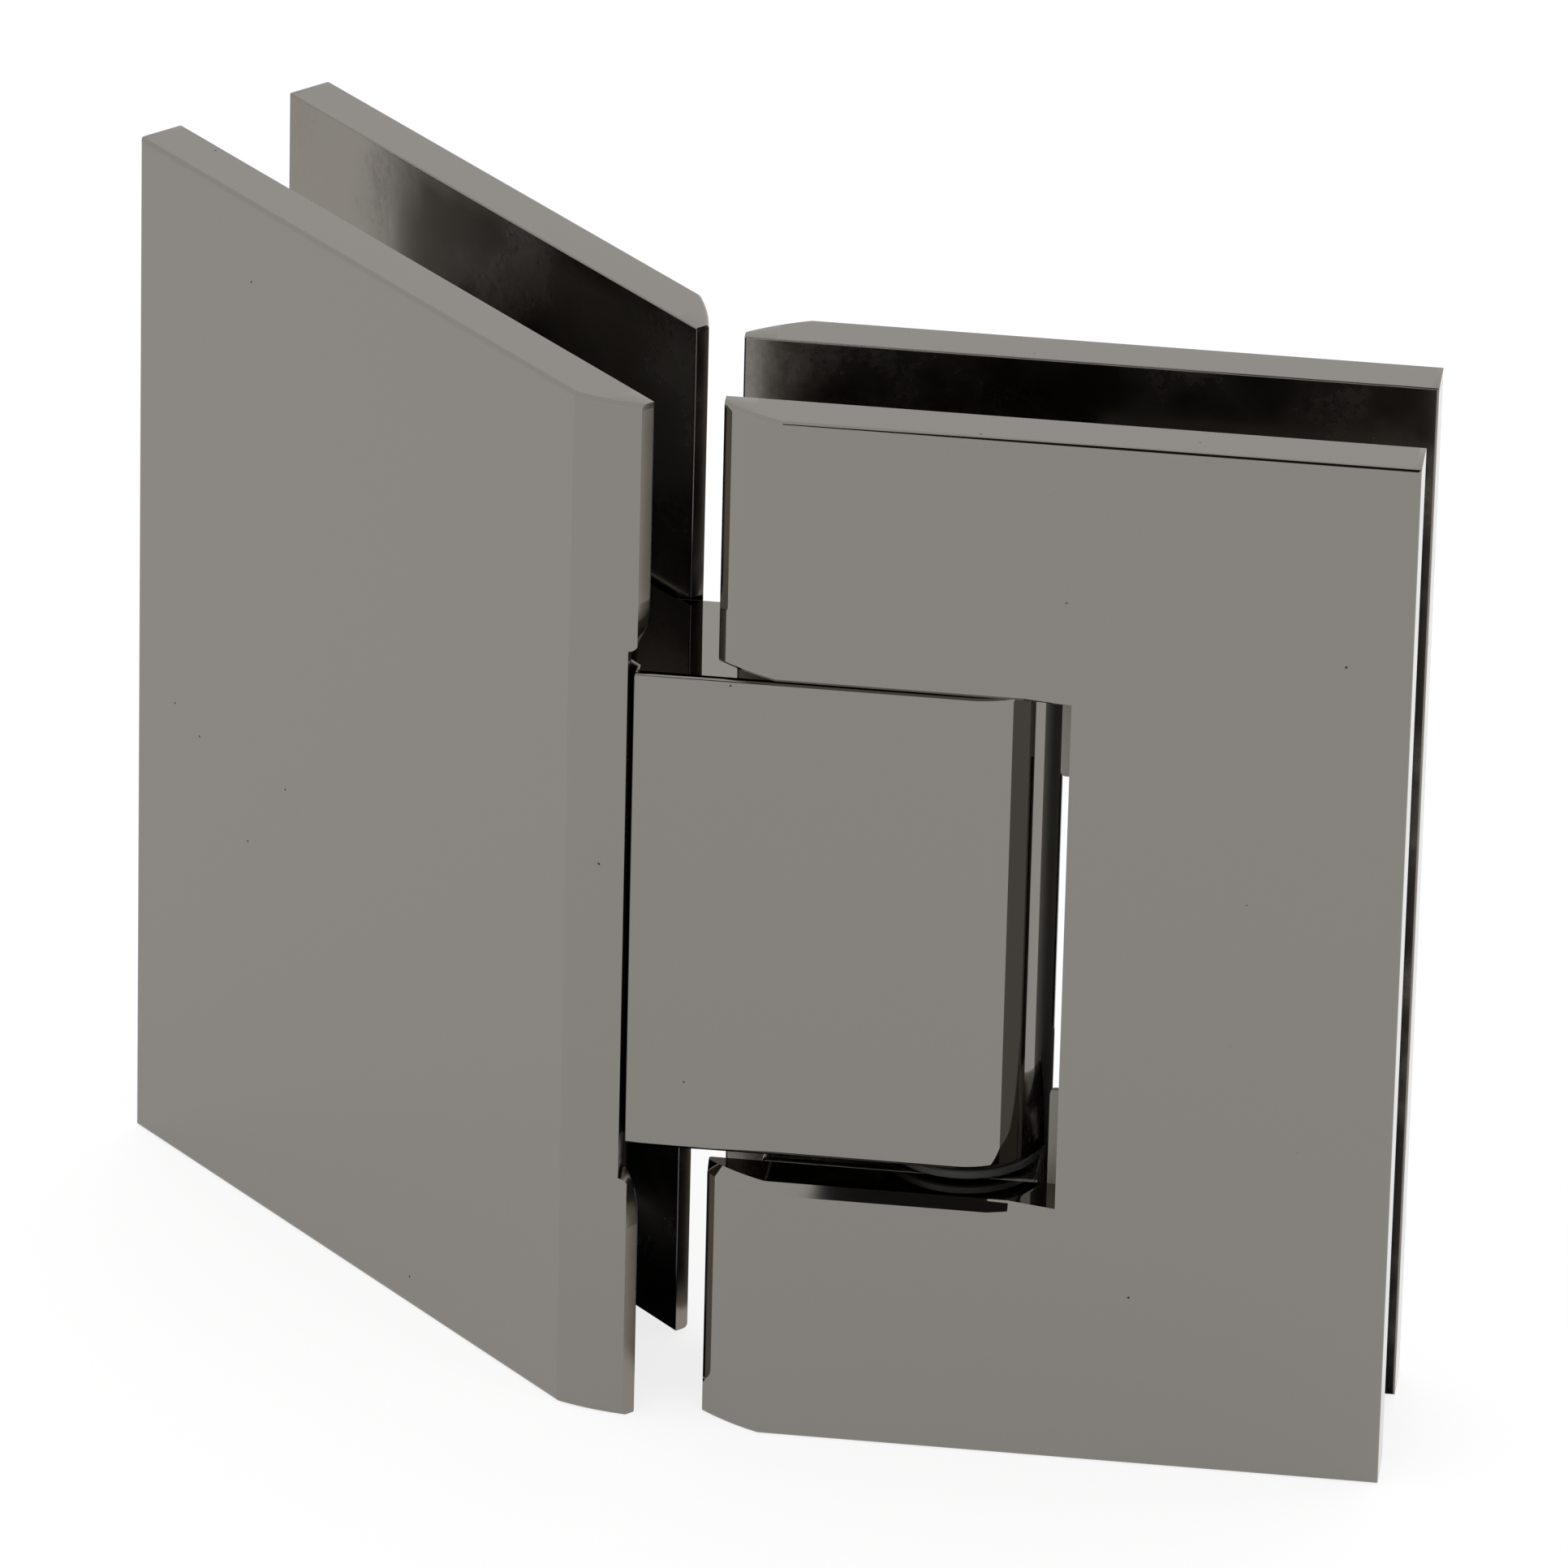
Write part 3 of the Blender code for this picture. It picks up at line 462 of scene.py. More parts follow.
def slab(outer, inner, solid, features, x_lines, z_lines, pivot_end):
    """Sheets of a plate from the grids of points of its outer and inner faces.

    A feature is (centre, radius, profile, through). Its profile is a list of (radius, y). One that
    goes through starts on the outer face and ends on the inner; any other starts on the inner and
    closes itself. pivot_end is the grid column at the inner end, whose walls are milled.
    """
    outer_keep, inner_keep = solid.copy(), solid.copy()
    sheets = []
    for centre, radius, profile, through in features:
        i0, i1, j0, j1 = cells = cells_about(x_lines, z_lines, centre, radius * SQUARE)
        inner_keep[i0:i1, j0:j1] = False
        start, angles = square_to_circle(opening_rim(inner, cells), centre, *profile[-1 if through else 0])
        stack = [circle_at(angles, centre, *step) for step in profile]
        if through:
            outer_keep[i0:i1, j0:j1] = False
            top, _ = square_to_circle(opening_rim(outer, cells), centre, *profile[0])
            stack = np.concatenate([top[:-1], stack, start[::-1][1:]])
        else:
            stack = np.concatenate([start[:-1], stack])
        sheets.append(ring_sheet(stack, OUTSIDE if through else GRIPPING))
    faces = grid_faces(*outer.shape[:2])
    number = np.arange(outer.shape[0] * outer.shape[1]).reshape(outer.shape[:2])
    edges = wall_edges(solid, number)
    wall = np.hstack([edges, edges[:, ::-1] + number.size])
    both_faces = np.concatenate([outer.reshape(-1, 3), inner.reshape(-1, 3)])
    at_end = np.isin(edges, number[pivot_end]).all(axis=1)
    sheets.append((outer.reshape(-1, 3), faces[outer_keep.ravel()], OUTSIDE))
    sheets.append((inner.reshape(-1, 3), faces[inner_keep.ravel()], GRIPPING))
    sheets.append((both_faces, wall[~at_end], OUTSIDE))
    sheets.append((both_faces, wall[at_end], MILLED_END))
    return sheets


def feature_lines(features, axis, count=10):
    """Lines across every feature's square, its two sides included."""
    across = np.linspace(-SQUARE, SQUARE, count + 1)
    return np.concatenate([centre[axis] + radius * across for centre, radius, _, _ in features])


# %% [markdown]
# ### Screw holes and posts
# Two screws clamp each pair of plates. Their heads sink into the back plate, and their tips go into
# posts on the front plate, which pass through the glass. Each is a profile of radius and y, read
# off the screw's own CAD node, so a hole always fits its screw.

# %% Profiles of what the screws go through
CLAMP_SHANK, BLOCK_SHANK, CARRIER_SHANK = 2.5, 2.5, 2.0
POST_RADIUS, POST_FILLET, POST_TIP = 5.5, 0.4, 0.3
MOUTH_EASE, BORE_EASE = 0.12, 0.15
LAND = 0.4  # height of the straight wall above a countersink's cone


def screw_facts(node, leaf):
    """Centre in (x, z), head radius, and the y of the head's top and of the tip."""
    low, high = span(node, leaf)
    middle = (low + high) / 2
    return (middle[0], middle[2]), (high[0] - low[0]) / 2, high[1], low[1]


def countersink(node, leaf):
    """The hole that a flat head sits in: mouth, cone, then a straight bore with broken edges."""
    centre, head, _, _ = screw_facts(node, leaf)
    mouth, bore = head + FIT, CLAMP_SHANK + FIT
    profile = [
        (mouth + MOUTH_EASE, LEAF_FACE),
        (mouth, LEAF_FACE - MOUTH_EASE),
        (mouth, LEAF_FACE - LAND),
        (bore, LEAF_FACE - LAND - (mouth - bore)),
        (bore, GAP_FACE + BORE_EASE),
        (bore + BORE_EASE, GAP_FACE),
    ]
    return centre, mouth + 0.5, profile, True


def post(node, leaf):
    """A round post on a front plate's inner face, with a foot fillet and a tapped hole from its end."""
    centre, _, _, tip = screw_facts(node, leaf)
    end, bore = GAP_FACE - 2 * FIT, CLAMP_SHANK + FIT
    turn = np.linspace(0.0, math.pi / 2, 6)
    foot = POST_FILLET * np.column_stack([1 - np.sin(turn), 1 - np.cos(turn)])
    profile = [(POST_RADIUS + out, up - GAP_FACE) for out, up in foot]
    profile += [
        (POST_RADIUS, end - POST_TIP),
        (POST_RADIUS - POST_TIP, end),
        (bore + POST_FILLET, end),
        (bore, end - POST_FILLET),
        (bore, tip - FIT),
        (0.0, tip - FIT),
    ]
    return centre, POST_RADIUS + POST_FILLET, profile, False


def blind_hole(node, leaf, shank):
    """A tapped hole in a front plate's inner face."""
    centre, _, _, tip = screw_facts(node, leaf)
    bore, ease = shank + FIT, 0.25
    profile = [(bore + ease, -GAP_FACE), (bore, -GAP_FACE - ease), (bore, tip - FIT), (0.0, tip - FIT)]
    return centre, bore + 0.5, profile, False


def both(make, name, *facts):
    """The same feature for the upper and the lower piece of a name."""
    return [make(f"{name}_{level}", *facts) for level in LEVELS]


# %% [markdown]
# ### Door plates
# The door plates have a square notch whose level edges are chamfered. The chamfer fades out at the
# notch's inner corners, where the round cutter that made it can't reach. So the chamfer's width is
# a ramp along x, and the grid's lines are squeezed with it, which keeps its rim on one line. Both
# plates use the same grid, and only the sign of y differs.

# %% Door plates
DOOR_LOW, DOOR_HIGH = span("door_back_plate", "door")
NOTCH_LOW = span("thrust_washer_lower", "door")[0][2] - FIT
NOTCH_HIGH = span("thrust_washer_upper", "door")[1][2] + FIT
NOTCH_WALL = NOSE + 1.4


def edge_lines(place, inward):
    """Grid lines for an edge that is rounded on both the outer and the inner face."""
    outer, inner = near_edge(place, inward, EDGE), near_edge(place, inward, INNER_EDGE, 3)
    return np.concatenate([outer, inner])


def common_z_lines(features, *extra):
    """Grid lines along z: the two ends, the features and whatever else a plate needs."""
    ends = edge_lines(0.0, 1), edge_lines(HEIGHT, -1)
    return merged_lines(*ends, *extra, feature_lines(features, 1))


def rounding(x_from_end, z, radius):
    """Depth of the roundings at the top, bottom and outer end."""
    return np.maximum(rounded(np.minimum(z, HEIGHT - z), radius), rounded(x_from_end, radius))


def door_plate(side, features):
    """side is -1 for the front plate and 1 for the back plate."""
    inner_end, outer_end = DOOR_LOW[0], DOOR_HIGH[0]
    x_lines = merged_lines(
        inner_end + np.linspace(0.0, FACET_RUN, 25),
        near_edge(inner_end, 1, INNER_EDGE, 3),
        inner_end + FACET_RUN + 0.1,
        edge_lines(outer_end, -1),
        NOTCH_WALL - np.linspace(0.0, CHAMFER_FADE, 11),
        feature_lines(features, 0),
    )
    below, above = (width * np.linspace(0.0, 1.0, 5) for width in (LOWER_CHAMFER, UPPER_CHAMFER))
    z_lines = common_z_lines(features, NOTCH_LOW - below, NOTCH_HIGH + above)
    x, z = np.meshgrid(x_lines, z_lines, indexing="ij")
    ramp = np.clip(abs(NOTCH_WALL - x) / CHAMFER_FADE, 0.02, 1.0)
    chamfered, squeezed = 0.0, z
    for width, out in ((LOWER_CHAMFER, NOTCH_LOW - z), (UPPER_CHAMFER, z - NOTCH_HIGH)):
        within = (out > -1e-6) & (out < width + 1e-6)
        chamfered = chamfered + np.where(within & (x < NOTCH_WALL), (width - out) * ramp, 0.0)
        squeezed = np.where(within, z + np.sign(z - MIDDLE) * out * (ramp - 1), squeezed)
    deep = facet(x - inner_end) + rounding(outer_end - x, z, EDGE) + chamfered
    shallow = np.maximum(rounding(outer_end - x, z, INNER_EDGE), rounded(x - inner_end, INNER_EDGE))
    outer = np.stack([x, side * (LEAF_FACE - deep), squeezed], axis=-1)
    inner = np.stack([x, side * (GAP_FACE + shallow), z], axis=-1)
    middle_x, middle_z = (x_lines[:-1] + x_lines[1:]) / 2, (z_lines[:-1] + z_lines[1:]) / 2
    notch = (middle_x[:, None] < NOTCH_WALL) & (middle_z > NOTCH_LOW) & (middle_z < NOTCH_HIGH)
    return slab(outer, inner, ~notch, features, x_lines, z_lines, 0)


NICKEL = ("polished_nickel", (nickel, ground_nickel, milled_nickel))
front_features = both(post, "door_clamp_screw", "door")
front_features += both(blind_hole, "carrier_screw", "door", CARRIER_SHANK)
back_features = both(countersink, "door_clamp_screw", "door")
door_front = mesh_from("door_front_plate", door_plate(-1, front_features), "door")
door_back = mesh_from("door_back_plate", door_plate(1, back_features), "door")
add_piece("door_front_plate", door_front, "door_leaf", *NICKEL)
add_piece("door_back_plate", door_back, "door_leaf", *NICKEL)
print("door plate faces:", len(door_front.polygons), len(door_back.polygons))

# %% [markdown]
# ### Fixed plates
# The fixed plates' inner ends are cut by notches that run square to the door leaf, not to their
# own. So the cut ends further along on the outer face than on the inner one. For each height the
# notch gives a number w, how far from the corner its wall stands, and each face is trimmed where it
# meets that wall. On the bowed facet the meeting has no short formula, so it is read backwards
# from a table of the facet itself.

# %% Fixed plates
FIXED_LOW = span("fixed_back_plate", "fixed")[0]
FRONT_END = span("fixed_front_plate", "fixed")[1][0]
BACK_END = span("fixed_back_plate", "fixed")[1][0]
BLOCK_HALF = (BLOCK_HIGH[2] - BLOCK_LOW[2]) / 2
SHOULDER_REACH = 1.45
RELIEF_ROOM, RELIEF_MOUTH, RELIEF_RISE = 2.4, 1.6, 4.0
ROOT_HALF = math.sqrt(0.5)
OPEN = 99.0  # a wall so far out that it trims nothing
BEND = 9.0  # the stretch by the inner end in which grid lines make room for a notch


def trimmed(end, wall, side, on_outer):
    """Where a face of a fixed plate meets the notch wall, as x along the leaf.

    A point (x, y) of the leaf stands (x + y) sqrt(1/2) along the front notch's axis and
    (y - x) sqrt(1/2) along the back notch's, and either must equal the wall.
    """
    reach = np.linspace(0.0, BEND, 400)
    x = end - reach
    y = side * (LEAF_FACE - facet(reach)) if on_outer else np.full(len(x), side * GAP_FACE)
    stands = (x + y if side < 0 else x - y) * ROOT_HALF
    return np.minimum(end, np.interp(wall, stands[::-1], x[::-1]))


def front_wall(z):
    """Wall of the front notch: flat, then a quarter ellipse, RELIEF_MOUTH deep and RELIEF_RISE high."""
    past = np.clip((abs(z - MIDDLE) - BLOCK_HALF - RELIEF_ROOM) / RELIEF_RISE, 0.0, 1.0)
    wall = -SHOULDER_REACH - FIT + RELIEF_MOUTH * np.sqrt(1 - (1 - past) ** 2)
    return np.where(past < 1.0, wall, OPEN)


def back_wall(z):
    """Wall of the back notch, a plain step beside the block's back side."""
    return np.where(abs(z - MIDDLE) <= BLOCK_HALF + FIT + 1e-6, -NOSE - FIT, OPEN)


def fixed_plate(side, end, wall, extra_z, features):
    """side is -1 for the front plate and 1 for the back plate, wall gives its notch by height."""
    outer_end = FIXED_LOW[0]
    x_lines = merged_lines(
        end - np.linspace(0.0, FACET_RUN, 25),
        near_edge(end, -1, INNER_EDGE, 3),
        end - FACET_RUN - 0.1,
        end - BEND,
        edge_lines(outer_end, 1),
        feature_lines(features, 0),
    )
    z_lines = common_z_lines(features, MIDDLE - extra_z, MIDDLE + extra_z)
    x, z = np.meshgrid(x_lines, z_lines, indexing="ij")
    share = np.clip((x - end + BEND) / BEND, 0.0, 1.0)
    outer_x = x - share * (end - trimmed(end, wall(z_lines), side, True))
    inner_x = x - share * (end - trimmed(end, wall(z_lines), side, False))
    deep = facet(end - outer_x) + rounding(x - outer_end, z, EDGE)
    shallow = np.maximum(rounding(x - outer_end, z, INNER_EDGE), rounded(end - x, INNER_EDGE))
    outer = np.stack([outer_x, side * (LEAF_FACE - deep), z], axis=-1)
    inner = np.stack([inner_x, side * (GAP_FACE + shallow), z], axis=-1)
    solid = np.ones((len(x_lines) - 1, len(z_lines) - 1), bool)
    return slab(outer, inner, solid, features, x_lines, z_lines, -1)


mouth_turn = 1 - np.cos(np.linspace(0.0, math.pi / 2, 17))
front_z = BLOCK_HALF + RELIEF_ROOM + RELIEF_RISE * np.append(mouth_turn, 1.1)
back_z = BLOCK_HALF + FIT + np.array([0.0, 0.01])
front_features = both(post, "fixed_clamp_screw", "fixed")
front_features += both(blind_hole, "block_screw", "fixed", BLOCK_SHANK)
back_features = both(countersink, "fixed_clamp_screw", "fixed")
front_sheets = fixed_plate(-1, FRONT_END, front_wall, front_z, front_features)
back_sheets = fixed_plate(1, BACK_END, back_wall, back_z, back_features)
fixed_front = mesh_from("fixed_front_plate", front_sheets, "fixed")
fixed_back = mesh_from("fixed_back_plate", back_sheets, "fixed")
add_piece("fixed_front_plate", fixed_front, "fixed_leaf", *NICKEL)
add_piece("fixed_back_plate", fixed_back, "fixed_leaf", *NICKEL)
print("fixed plate faces:", len(fixed_front.polygons), len(fixed_back.polygons))

# %% [markdown]
# ## The pivot block
# A brass block with a half-round nose about the pin, and a tongue that is bolted to the fixed
# leaf. All its sides are upright, so it is one plan outline swept up, drawn in a little at the top
# and bottom to round those edges. Drawing in means moving each point along its own mitre, so the
# rounding has the same width everywhere. The holes are hidden, so they are simply cut with turned
# cutters, which leaves every visible face as swept.

# %% Sweeping an outline
def rounded_corners(corners, radii, steps=5):
    """Outline with each corner replaced by an arc that touches both of its sides."""
    points = np.array(corners, float)
    into = points - np.roll(points, 1, axis=0)
    out = np.roll(points, -1, axis=0) - points
    into /= np.linalg.norm(into, axis=1)[:, None]
    out /= np.linalg.norm(out, axis=1)[:, None]
    cross = into[:, 0] * out[:, 1] - into[:, 1] * out[:, 0]
    turn = np.arctan2(cross, (into * out).sum(axis=1))
    parts = []
    for point, along, angle, radius in zip(points, into, turn, radii):
        if not radius:
            parts.append(point[None, :])
            continue
        spoke = math.copysign(radius, angle) * np.array([along[1], -along[0]])
        middle = point - radius * math.tan(abs(angle) / 2) * along - spoke
        swung = angle * np.linspace(0.0, 1.0, steps)
        c, s = np.cos(swung), np.sin(swung)
        arc = np.column_stack([c * spoke[0] - s * spoke[1], s * spoke[0] + c * spoke[1]])
        parts.append(middle + arc)
    return np.concatenate(parts)


def drawn_in(outline, distance):
    """Outline moved inwards: p + d (n1 + n2) / (1 + n1.n2), n being the inward normals beside p."""
    ahead = np.roll(outline, -1, axis=0) - outline
    normal = np.stack([-ahead[:, 1], ahead[:, 0]], axis=1) / np.linalg.norm(ahead, axis=1)[:, None]
    before = np.roll(normal, 1, axis=0)
    mitre = (normal + before) / (1 + (normal * before).sum(axis=1))[:, None]
    return outline + distance * mitre


def swept(outlines, low, high, edge, order=(0, 1, 2), steps=5):
    """Sheets of outlines swept from low to high with rounded rims. Outer ones run anticlockwise.

    order says which axes of the leaf the outline's two directions and the sweep lie along.
    """
    angles = np.linspace(0.0, math.pi / 2, steps)
    inset = np.concatenate([edge * (1 - np.sin(angles)), edge * (1 - np.cos(angles))])
    level = np.concatenate([low + edge * (1 - np.cos(angles)), high - edge * (1 - np.sin(angles))])
    sheets = []
    for outline in outlines:
        placed = np.empty((len(level), len(outline), 3))
        placed[..., list(order[:2])] = [drawn_in(outline, distance) for distance in inset]
        placed[..., order[2]] = level[:, None]
        sheets.append(ring_sheet(placed))
    return sheets


def about_axis(radius, height, centre, axis=2):
    """Sheet of rings about an axis. radius holds one row per ring and one column per angle."""
    angles = np.arange(radius.shape[1]) * math.tau / radius.shape[1]
    across = [i for i in range(3) if i != axis]
    points = np.empty((*radius.shape, 3))
    points[..., across[0]] = centre[across[0]] + radius * np.cos(angles)
    points[..., across[1]] = centre[across[1]] + radius * np.sin(angles)
    points[..., axis] = centre[axis] + height[:, None]
    return ring_sheet(points)


def turned(profile, centre, axis=2, count=48):
    """Sheet of a profile of (radius, height) turned about an axis."""
    radius, height = np.array(profile, float).T
    return about_axis(np.repeat(radius[:, None], count, axis=1), height, centre, axis)


def in_leaf(points, leaf_from, leaf_to):
    """Plan points of one leaf's frame in another's."""
    world = to_world(np.column_stack([points, np.zeros(len(points))]), leaf_from) / MM
    origin, angle = LEAVES[leaf_to]
    return ((world - origin) @ turn_matrix(angle))[:, :2]


# %% Pivot block
BLOCK_EDGE, SHOULDER_EDGE = 0.45, 0.1
TONGUE_END = span("pivot_block", "fixed")[0][0]
tongue_faces = np.array([[TONGUE_END, CARRIER_FACE], [TONGUE_END, -CARRIER_FACE]])
slant_face = CARRIER_FACE / ROOT_HALF  # half the tongue's thickness, measured along the door leaf
shoulder = -CORNER_REACH - SHOULDER_REACH
nose_turn = np.linspace(-math.pi / 2, math.pi / 2, 65)
nose = NOSE * np.column_stack([np.cos(nose_turn), np.sin(nose_turn)])
corners = [
    nose[-1],
    (-CORNER_REACH + slant_face - NOSE, NOSE),
    *in_leaf(tongue_faces, "fixed", "door"),
    (shoulder, SHOULDER_REACH - slant_face),
    (shoulder, -NOSE),
    nose[0],
]
rest = rounded_corners(corners, [0, 0, BLOCK_EDGE, BLOCK_EDGE, 0, SHOULDER_EDGE, 0])
block_outline = np.concatenate([nose, rest[1:-1]])
block_sheets = swept([block_outline], BLOCK_LOW[2], BLOCK_HIGH[2], BLOCK_EDGE)
block_mesh = mesh_from("pivot_block", block_sheets, "door", [(2, BLOCK_LOW[2]), (2, BLOCK_HIGH[2])])

# %% [markdown]
# The bore's profile is drawn once for its upper half and mirrored. Every straight cutter runs well
# past the face it opens, because two surfaces that coincide make a boolean fail.

# %% Holes of the block
def screw_hole(node, leaf, shank, reach=9.0):
    """Cutter for a countersunk hole right through a piece between the plates."""
    centre, head, top, _ = screw_facts(node, leaf)
    head, bore, cone = head + FIT, shank + FIT, top - 0.3
    profile = [(0.0, reach), (head, reach), (head, cone), (bore, cone - head + bore)]
    profile += [(bore, -reach), (0.0, -reach)]
    return cutter_from("hole for " + node, [turned(profile, (centre[0], 0.0, centre[1]), 1)], leaf)


def straight_hole(name, radius, start, end, centre, axis):
    """Cutter for a plain round hole from one height to another along an axis."""
    profile = [(0.0, start), (radius, start), (radius, end), (0.0, end)]
    return cutter_from(name, [turned(profile, centre, axis)], "door")


bush_low, bush_high = span("pin_bushing_upper", "door")
bush_radius = bush_high[0] + FIT
pin_bore = span("pivot_pin", "door")[1][0] + FIT + 0.25
seat = BLOCK_HALF - (bush_high[2] - bush_low[2]) - 2 * FIT
bore_half = [
    (0.0, BLOCK_HALF + 5.0),
    (bush_radius + 0.3, BLOCK_HALF + 5.0),
    (bush_radius + 0.3, BLOCK_HALF),
    (bush_radius, BLOCK_HALF - 0.3),
    (bush_radius, seat),
    (pin_bore, seat),
]
bore_profile = bore_half + [(radius, -height) for radius, height in reversed(bore_half)]
cutters = [cutter_from("pin bore", [turned(bore_profile, (0.0, 0.0, MIDDLE))], "door")]
for level in LEVELS:
    low, high = span("detent_plunger_" + level, "door")
    radius = (high[2] - low[2]) / 2 + FIT
    centre = (0.0, 0.0, (low[2] + high[2]) / 2)
    cutters.append(straight_hole("plunger bore " + level, radius, 0.0, -45.0, centre, 0))
    cutters.append(screw_hole("block_screw_" + level, "fixed", BLOCK_SHANK))
block = add_piece("pivot_block", block_mesh, "fixed_leaf", "polished_nickel", (nickel,), cutters=cutters)
print("block faces:", len(block.data.polygons))

# %% [markdown]
# ## Pin carriers and gaskets
# A carrier is a small brass block between the door plates that grips one end of the pin. Each
# gasket is cut from half-millimetre sheet with a knife, so its edges are square but soft. Both are
# outlines again: the carrier is swept upwards and the gasket through its thickness.

# %% Carriers
PIN_STEP = 0.5  # how much thinner the pin is at its ends


def box_outline(low, high, radius):
    corners = [(low[0], low[1]), (high[0], low[1]), (high[0], high[1]), (low[0], high[1])]
    return rounded_corners(corners, [radius] * 4)


for level in LEVELS:
    node = "pin_carrier_" + level
    low, high = span(node, "door")
    sheets = swept([box_outline(low, high, EDGE)], low[2], high[2], EDGE)
    mesh = mesh_from(node, sheets, "door", [(2, low[2]), (2, high[2])])
    centre = (0.0, 0.0, (low[2] + high[2]) / 2)
    pin_end = span("pivot_pin", "door")[1][0] - PIN_STEP + FIT
    set_low, set_high = span("pin_set_screw_" + level, "door")
    tapped = (set_high[2] - set_low[2]) / 2 + FIT
    cutters = [
        straight_hole("pin end bore", pin_end, -20.0, 20.0, centre, 2),
        screw_hole("carrier_screw_" + level, "door", CARRIER_SHANK),
        straight_hole("set screw hole", tapped, 0.0, 12.0, centre, 0),
    ]
    add_piece(node, mesh, "door_leaf", "polished_nickel", (ground_nickel,), cutters=cutters)

# %% Gaskets
GASKET_CORNER, GASKET_RIM = 0.4, 0.06


def gasket(node, leaf, screw_name, lug, recess, step):
    """A sheet with two lugs towards the pivot, step from the middle, and a hole for each post."""
    low, high = span(node, leaf)
    outer = high[0] if leaf == "door" else low[0]
    upper = [(outer, high[2]), (lug, high[2]), (lug, MIDDLE + step), (recess, MIDDLE + step)]
    outline = upper + [(x, HEIGHT - z) for x, z in reversed(upper)]
    if leaf == "fixed":
        outline.reverse()
    loops = [rounded_corners(outline, [GASKET_CORNER] * len(outline), 4)]
    turn = -np.arange(48) * math.tau / 48
    hole = (POST_RADIUS + FIT) * np.column_stack([np.cos(turn), np.sin(turn)])
    loops += [hole + screw_facts(f"{screw_name}_{level}", leaf)[0] for level in LEVELS]
    sheets = swept(loops, low[1], high[1], GASKET_RIM, order=(0, 2, 1), steps=3)
    mesh = mesh_from(node, sheets, leaf, [(1, low[1]), (1, high[1])])
    add_piece(node, mesh, leaf + "_leaf", "clear_vinyl", (vinyl,))


for side in ("front", "back"):
    door_facts = NOSE + FIT, NOTCH_WALL + 1.5, BLOCK_HALF - 7.0
    fixed_facts = -11.0, TONGUE_END - 2 * FIT, BLOCK_HALF + 2 * FIT
    gasket(f"door_{side}_gasket", "door", "door_clamp_screw", *door_facts)
    gasket(f"fixed_{side}_gasket", "fixed", "fixed_clamp_screw", *fixed_facts)

# %% [markdown]
# ## Screws
# Countersunk socket screws hold the plates, the block and the carriers. Heads, shanks and sockets
# are one stack of rings. The socket's rings are hexagons: their radius is multiplied by
# cos(30) / cos(a - 30), with a the angle within one side. The thread is a ripple in the radius that
# moves round once per pitch, so it needs no separate helix. Headless screws use the same rings.

# %% Screws
def hexagon(count):
    """Radius of a hexagon by angle, 1 at its corners."""
    within = np.mod(np.arange(count) * math.tau / count, math.pi / 3)
    return math.cos(math.pi / 6) / np.cos(within - math.pi / 6)


def threaded(radius, start, end, pitch, count=48, steps=10):
    """Rings of a screw thread from one height down to another: r - d |2 frac(h / p + a) - 1|."""
    heights = np.linspace(start, end, max(2, int(abs(end - start) / pitch * steps)))
    angles = np.arange(count) / count
    ripple = abs(2 * np.mod(heights[:, None] / pitch + angles, 1.0) - 1)
    fade = np.clip(np.minimum(abs(heights - start), abs(heights - end)) / pitch, 0.0, 1.0)
    depth = 0.55 * pitch * fade[:, None] * ripple
    return heights, radius - depth


def screw_rings(head, shank, length, pitch, socket, socket_depth, head_depth, count=48):
    """Radii and heights of a screw from its socket's floor, round its head, and down to its tip."""
    hexed, plain = hexagon(count), np.ones(count)
    rows = [
        (0.0, -socket_depth, plain),
        (socket, -socket_depth, hexed),
        (socket, -0.12, hexed),
        (socket + 0.12, 0.0, hexed),
        (head - 0.15, 0.0, plain),
        (head, -0.12, plain),
    ]
    if head > shank:
        rows += [(head, -0.35, plain), (shank, -head_depth, plain)]
    heights, radii = threaded(shank, -head_depth - 0.3, 0.5 - length, pitch, count)
    top_radii = [radius * shape for radius, _, shape in rows]
    top_heights = [height for _, height, _ in rows]
    end_radii = [(shank - 0.5) * plain, 0.0 * plain]
    radius = np.concatenate([top_radii, radii, end_radii])
    return radius, np.concatenate([top_heights, heights, [-length, -length]])


def screw(node, leaf, axis, away, body, head, shank, pitch, socket, head_depth=None):
    """away is 1 when the socket faces the axis's positive end. Without a head_depth it is headless."""
    low, high = span(node, leaf)
    centre = (low + high) / 2
    centre[axis] = high[axis] if away > 0 else low[axis]
    length = high[axis] - low[axis]
    socket_depth = 0.7 * head_depth if head_depth else length / 2
    depths = socket_depth, head_depth or 0.35
    radius, height = screw_rings(head, shank, length, pitch, socket, *depths)
    mesh = mesh_from(node, [about_axis(radius, away * height, centre, axis)], leaf)
    add_piece(node, mesh, body, "stainless_steel", (stainless,))


for level in LEVELS:
    for name, leaf, head, shank, depth in (
        ("door_clamp_screw", "door", 4.6, CLAMP_SHANK, 2.5),
        ("fixed_clamp_screw", "fixed", 4.6, CLAMP_SHANK, 2.5),
        ("block_screw", "fixed", 4.4, BLOCK_SHANK, 2.4),
        ("carrier_screw", "door", 3.8, CARRIER_SHANK, 2.1),
    ):
        screw(f"{name}_{level}", leaf, 1, 1, leaf + "_leaf", head, shank, 0.8, 0.36 * head, depth)
    screw("pin_set_screw_" + level, "door", 0, 1, "door_leaf", 2.0, 2.0, 0.7, 1.0)
    screw("spring_plug_" + level, "door", 0, -1, "fixed_leaf", 3.1, 3.1, 0.8, 1.55)

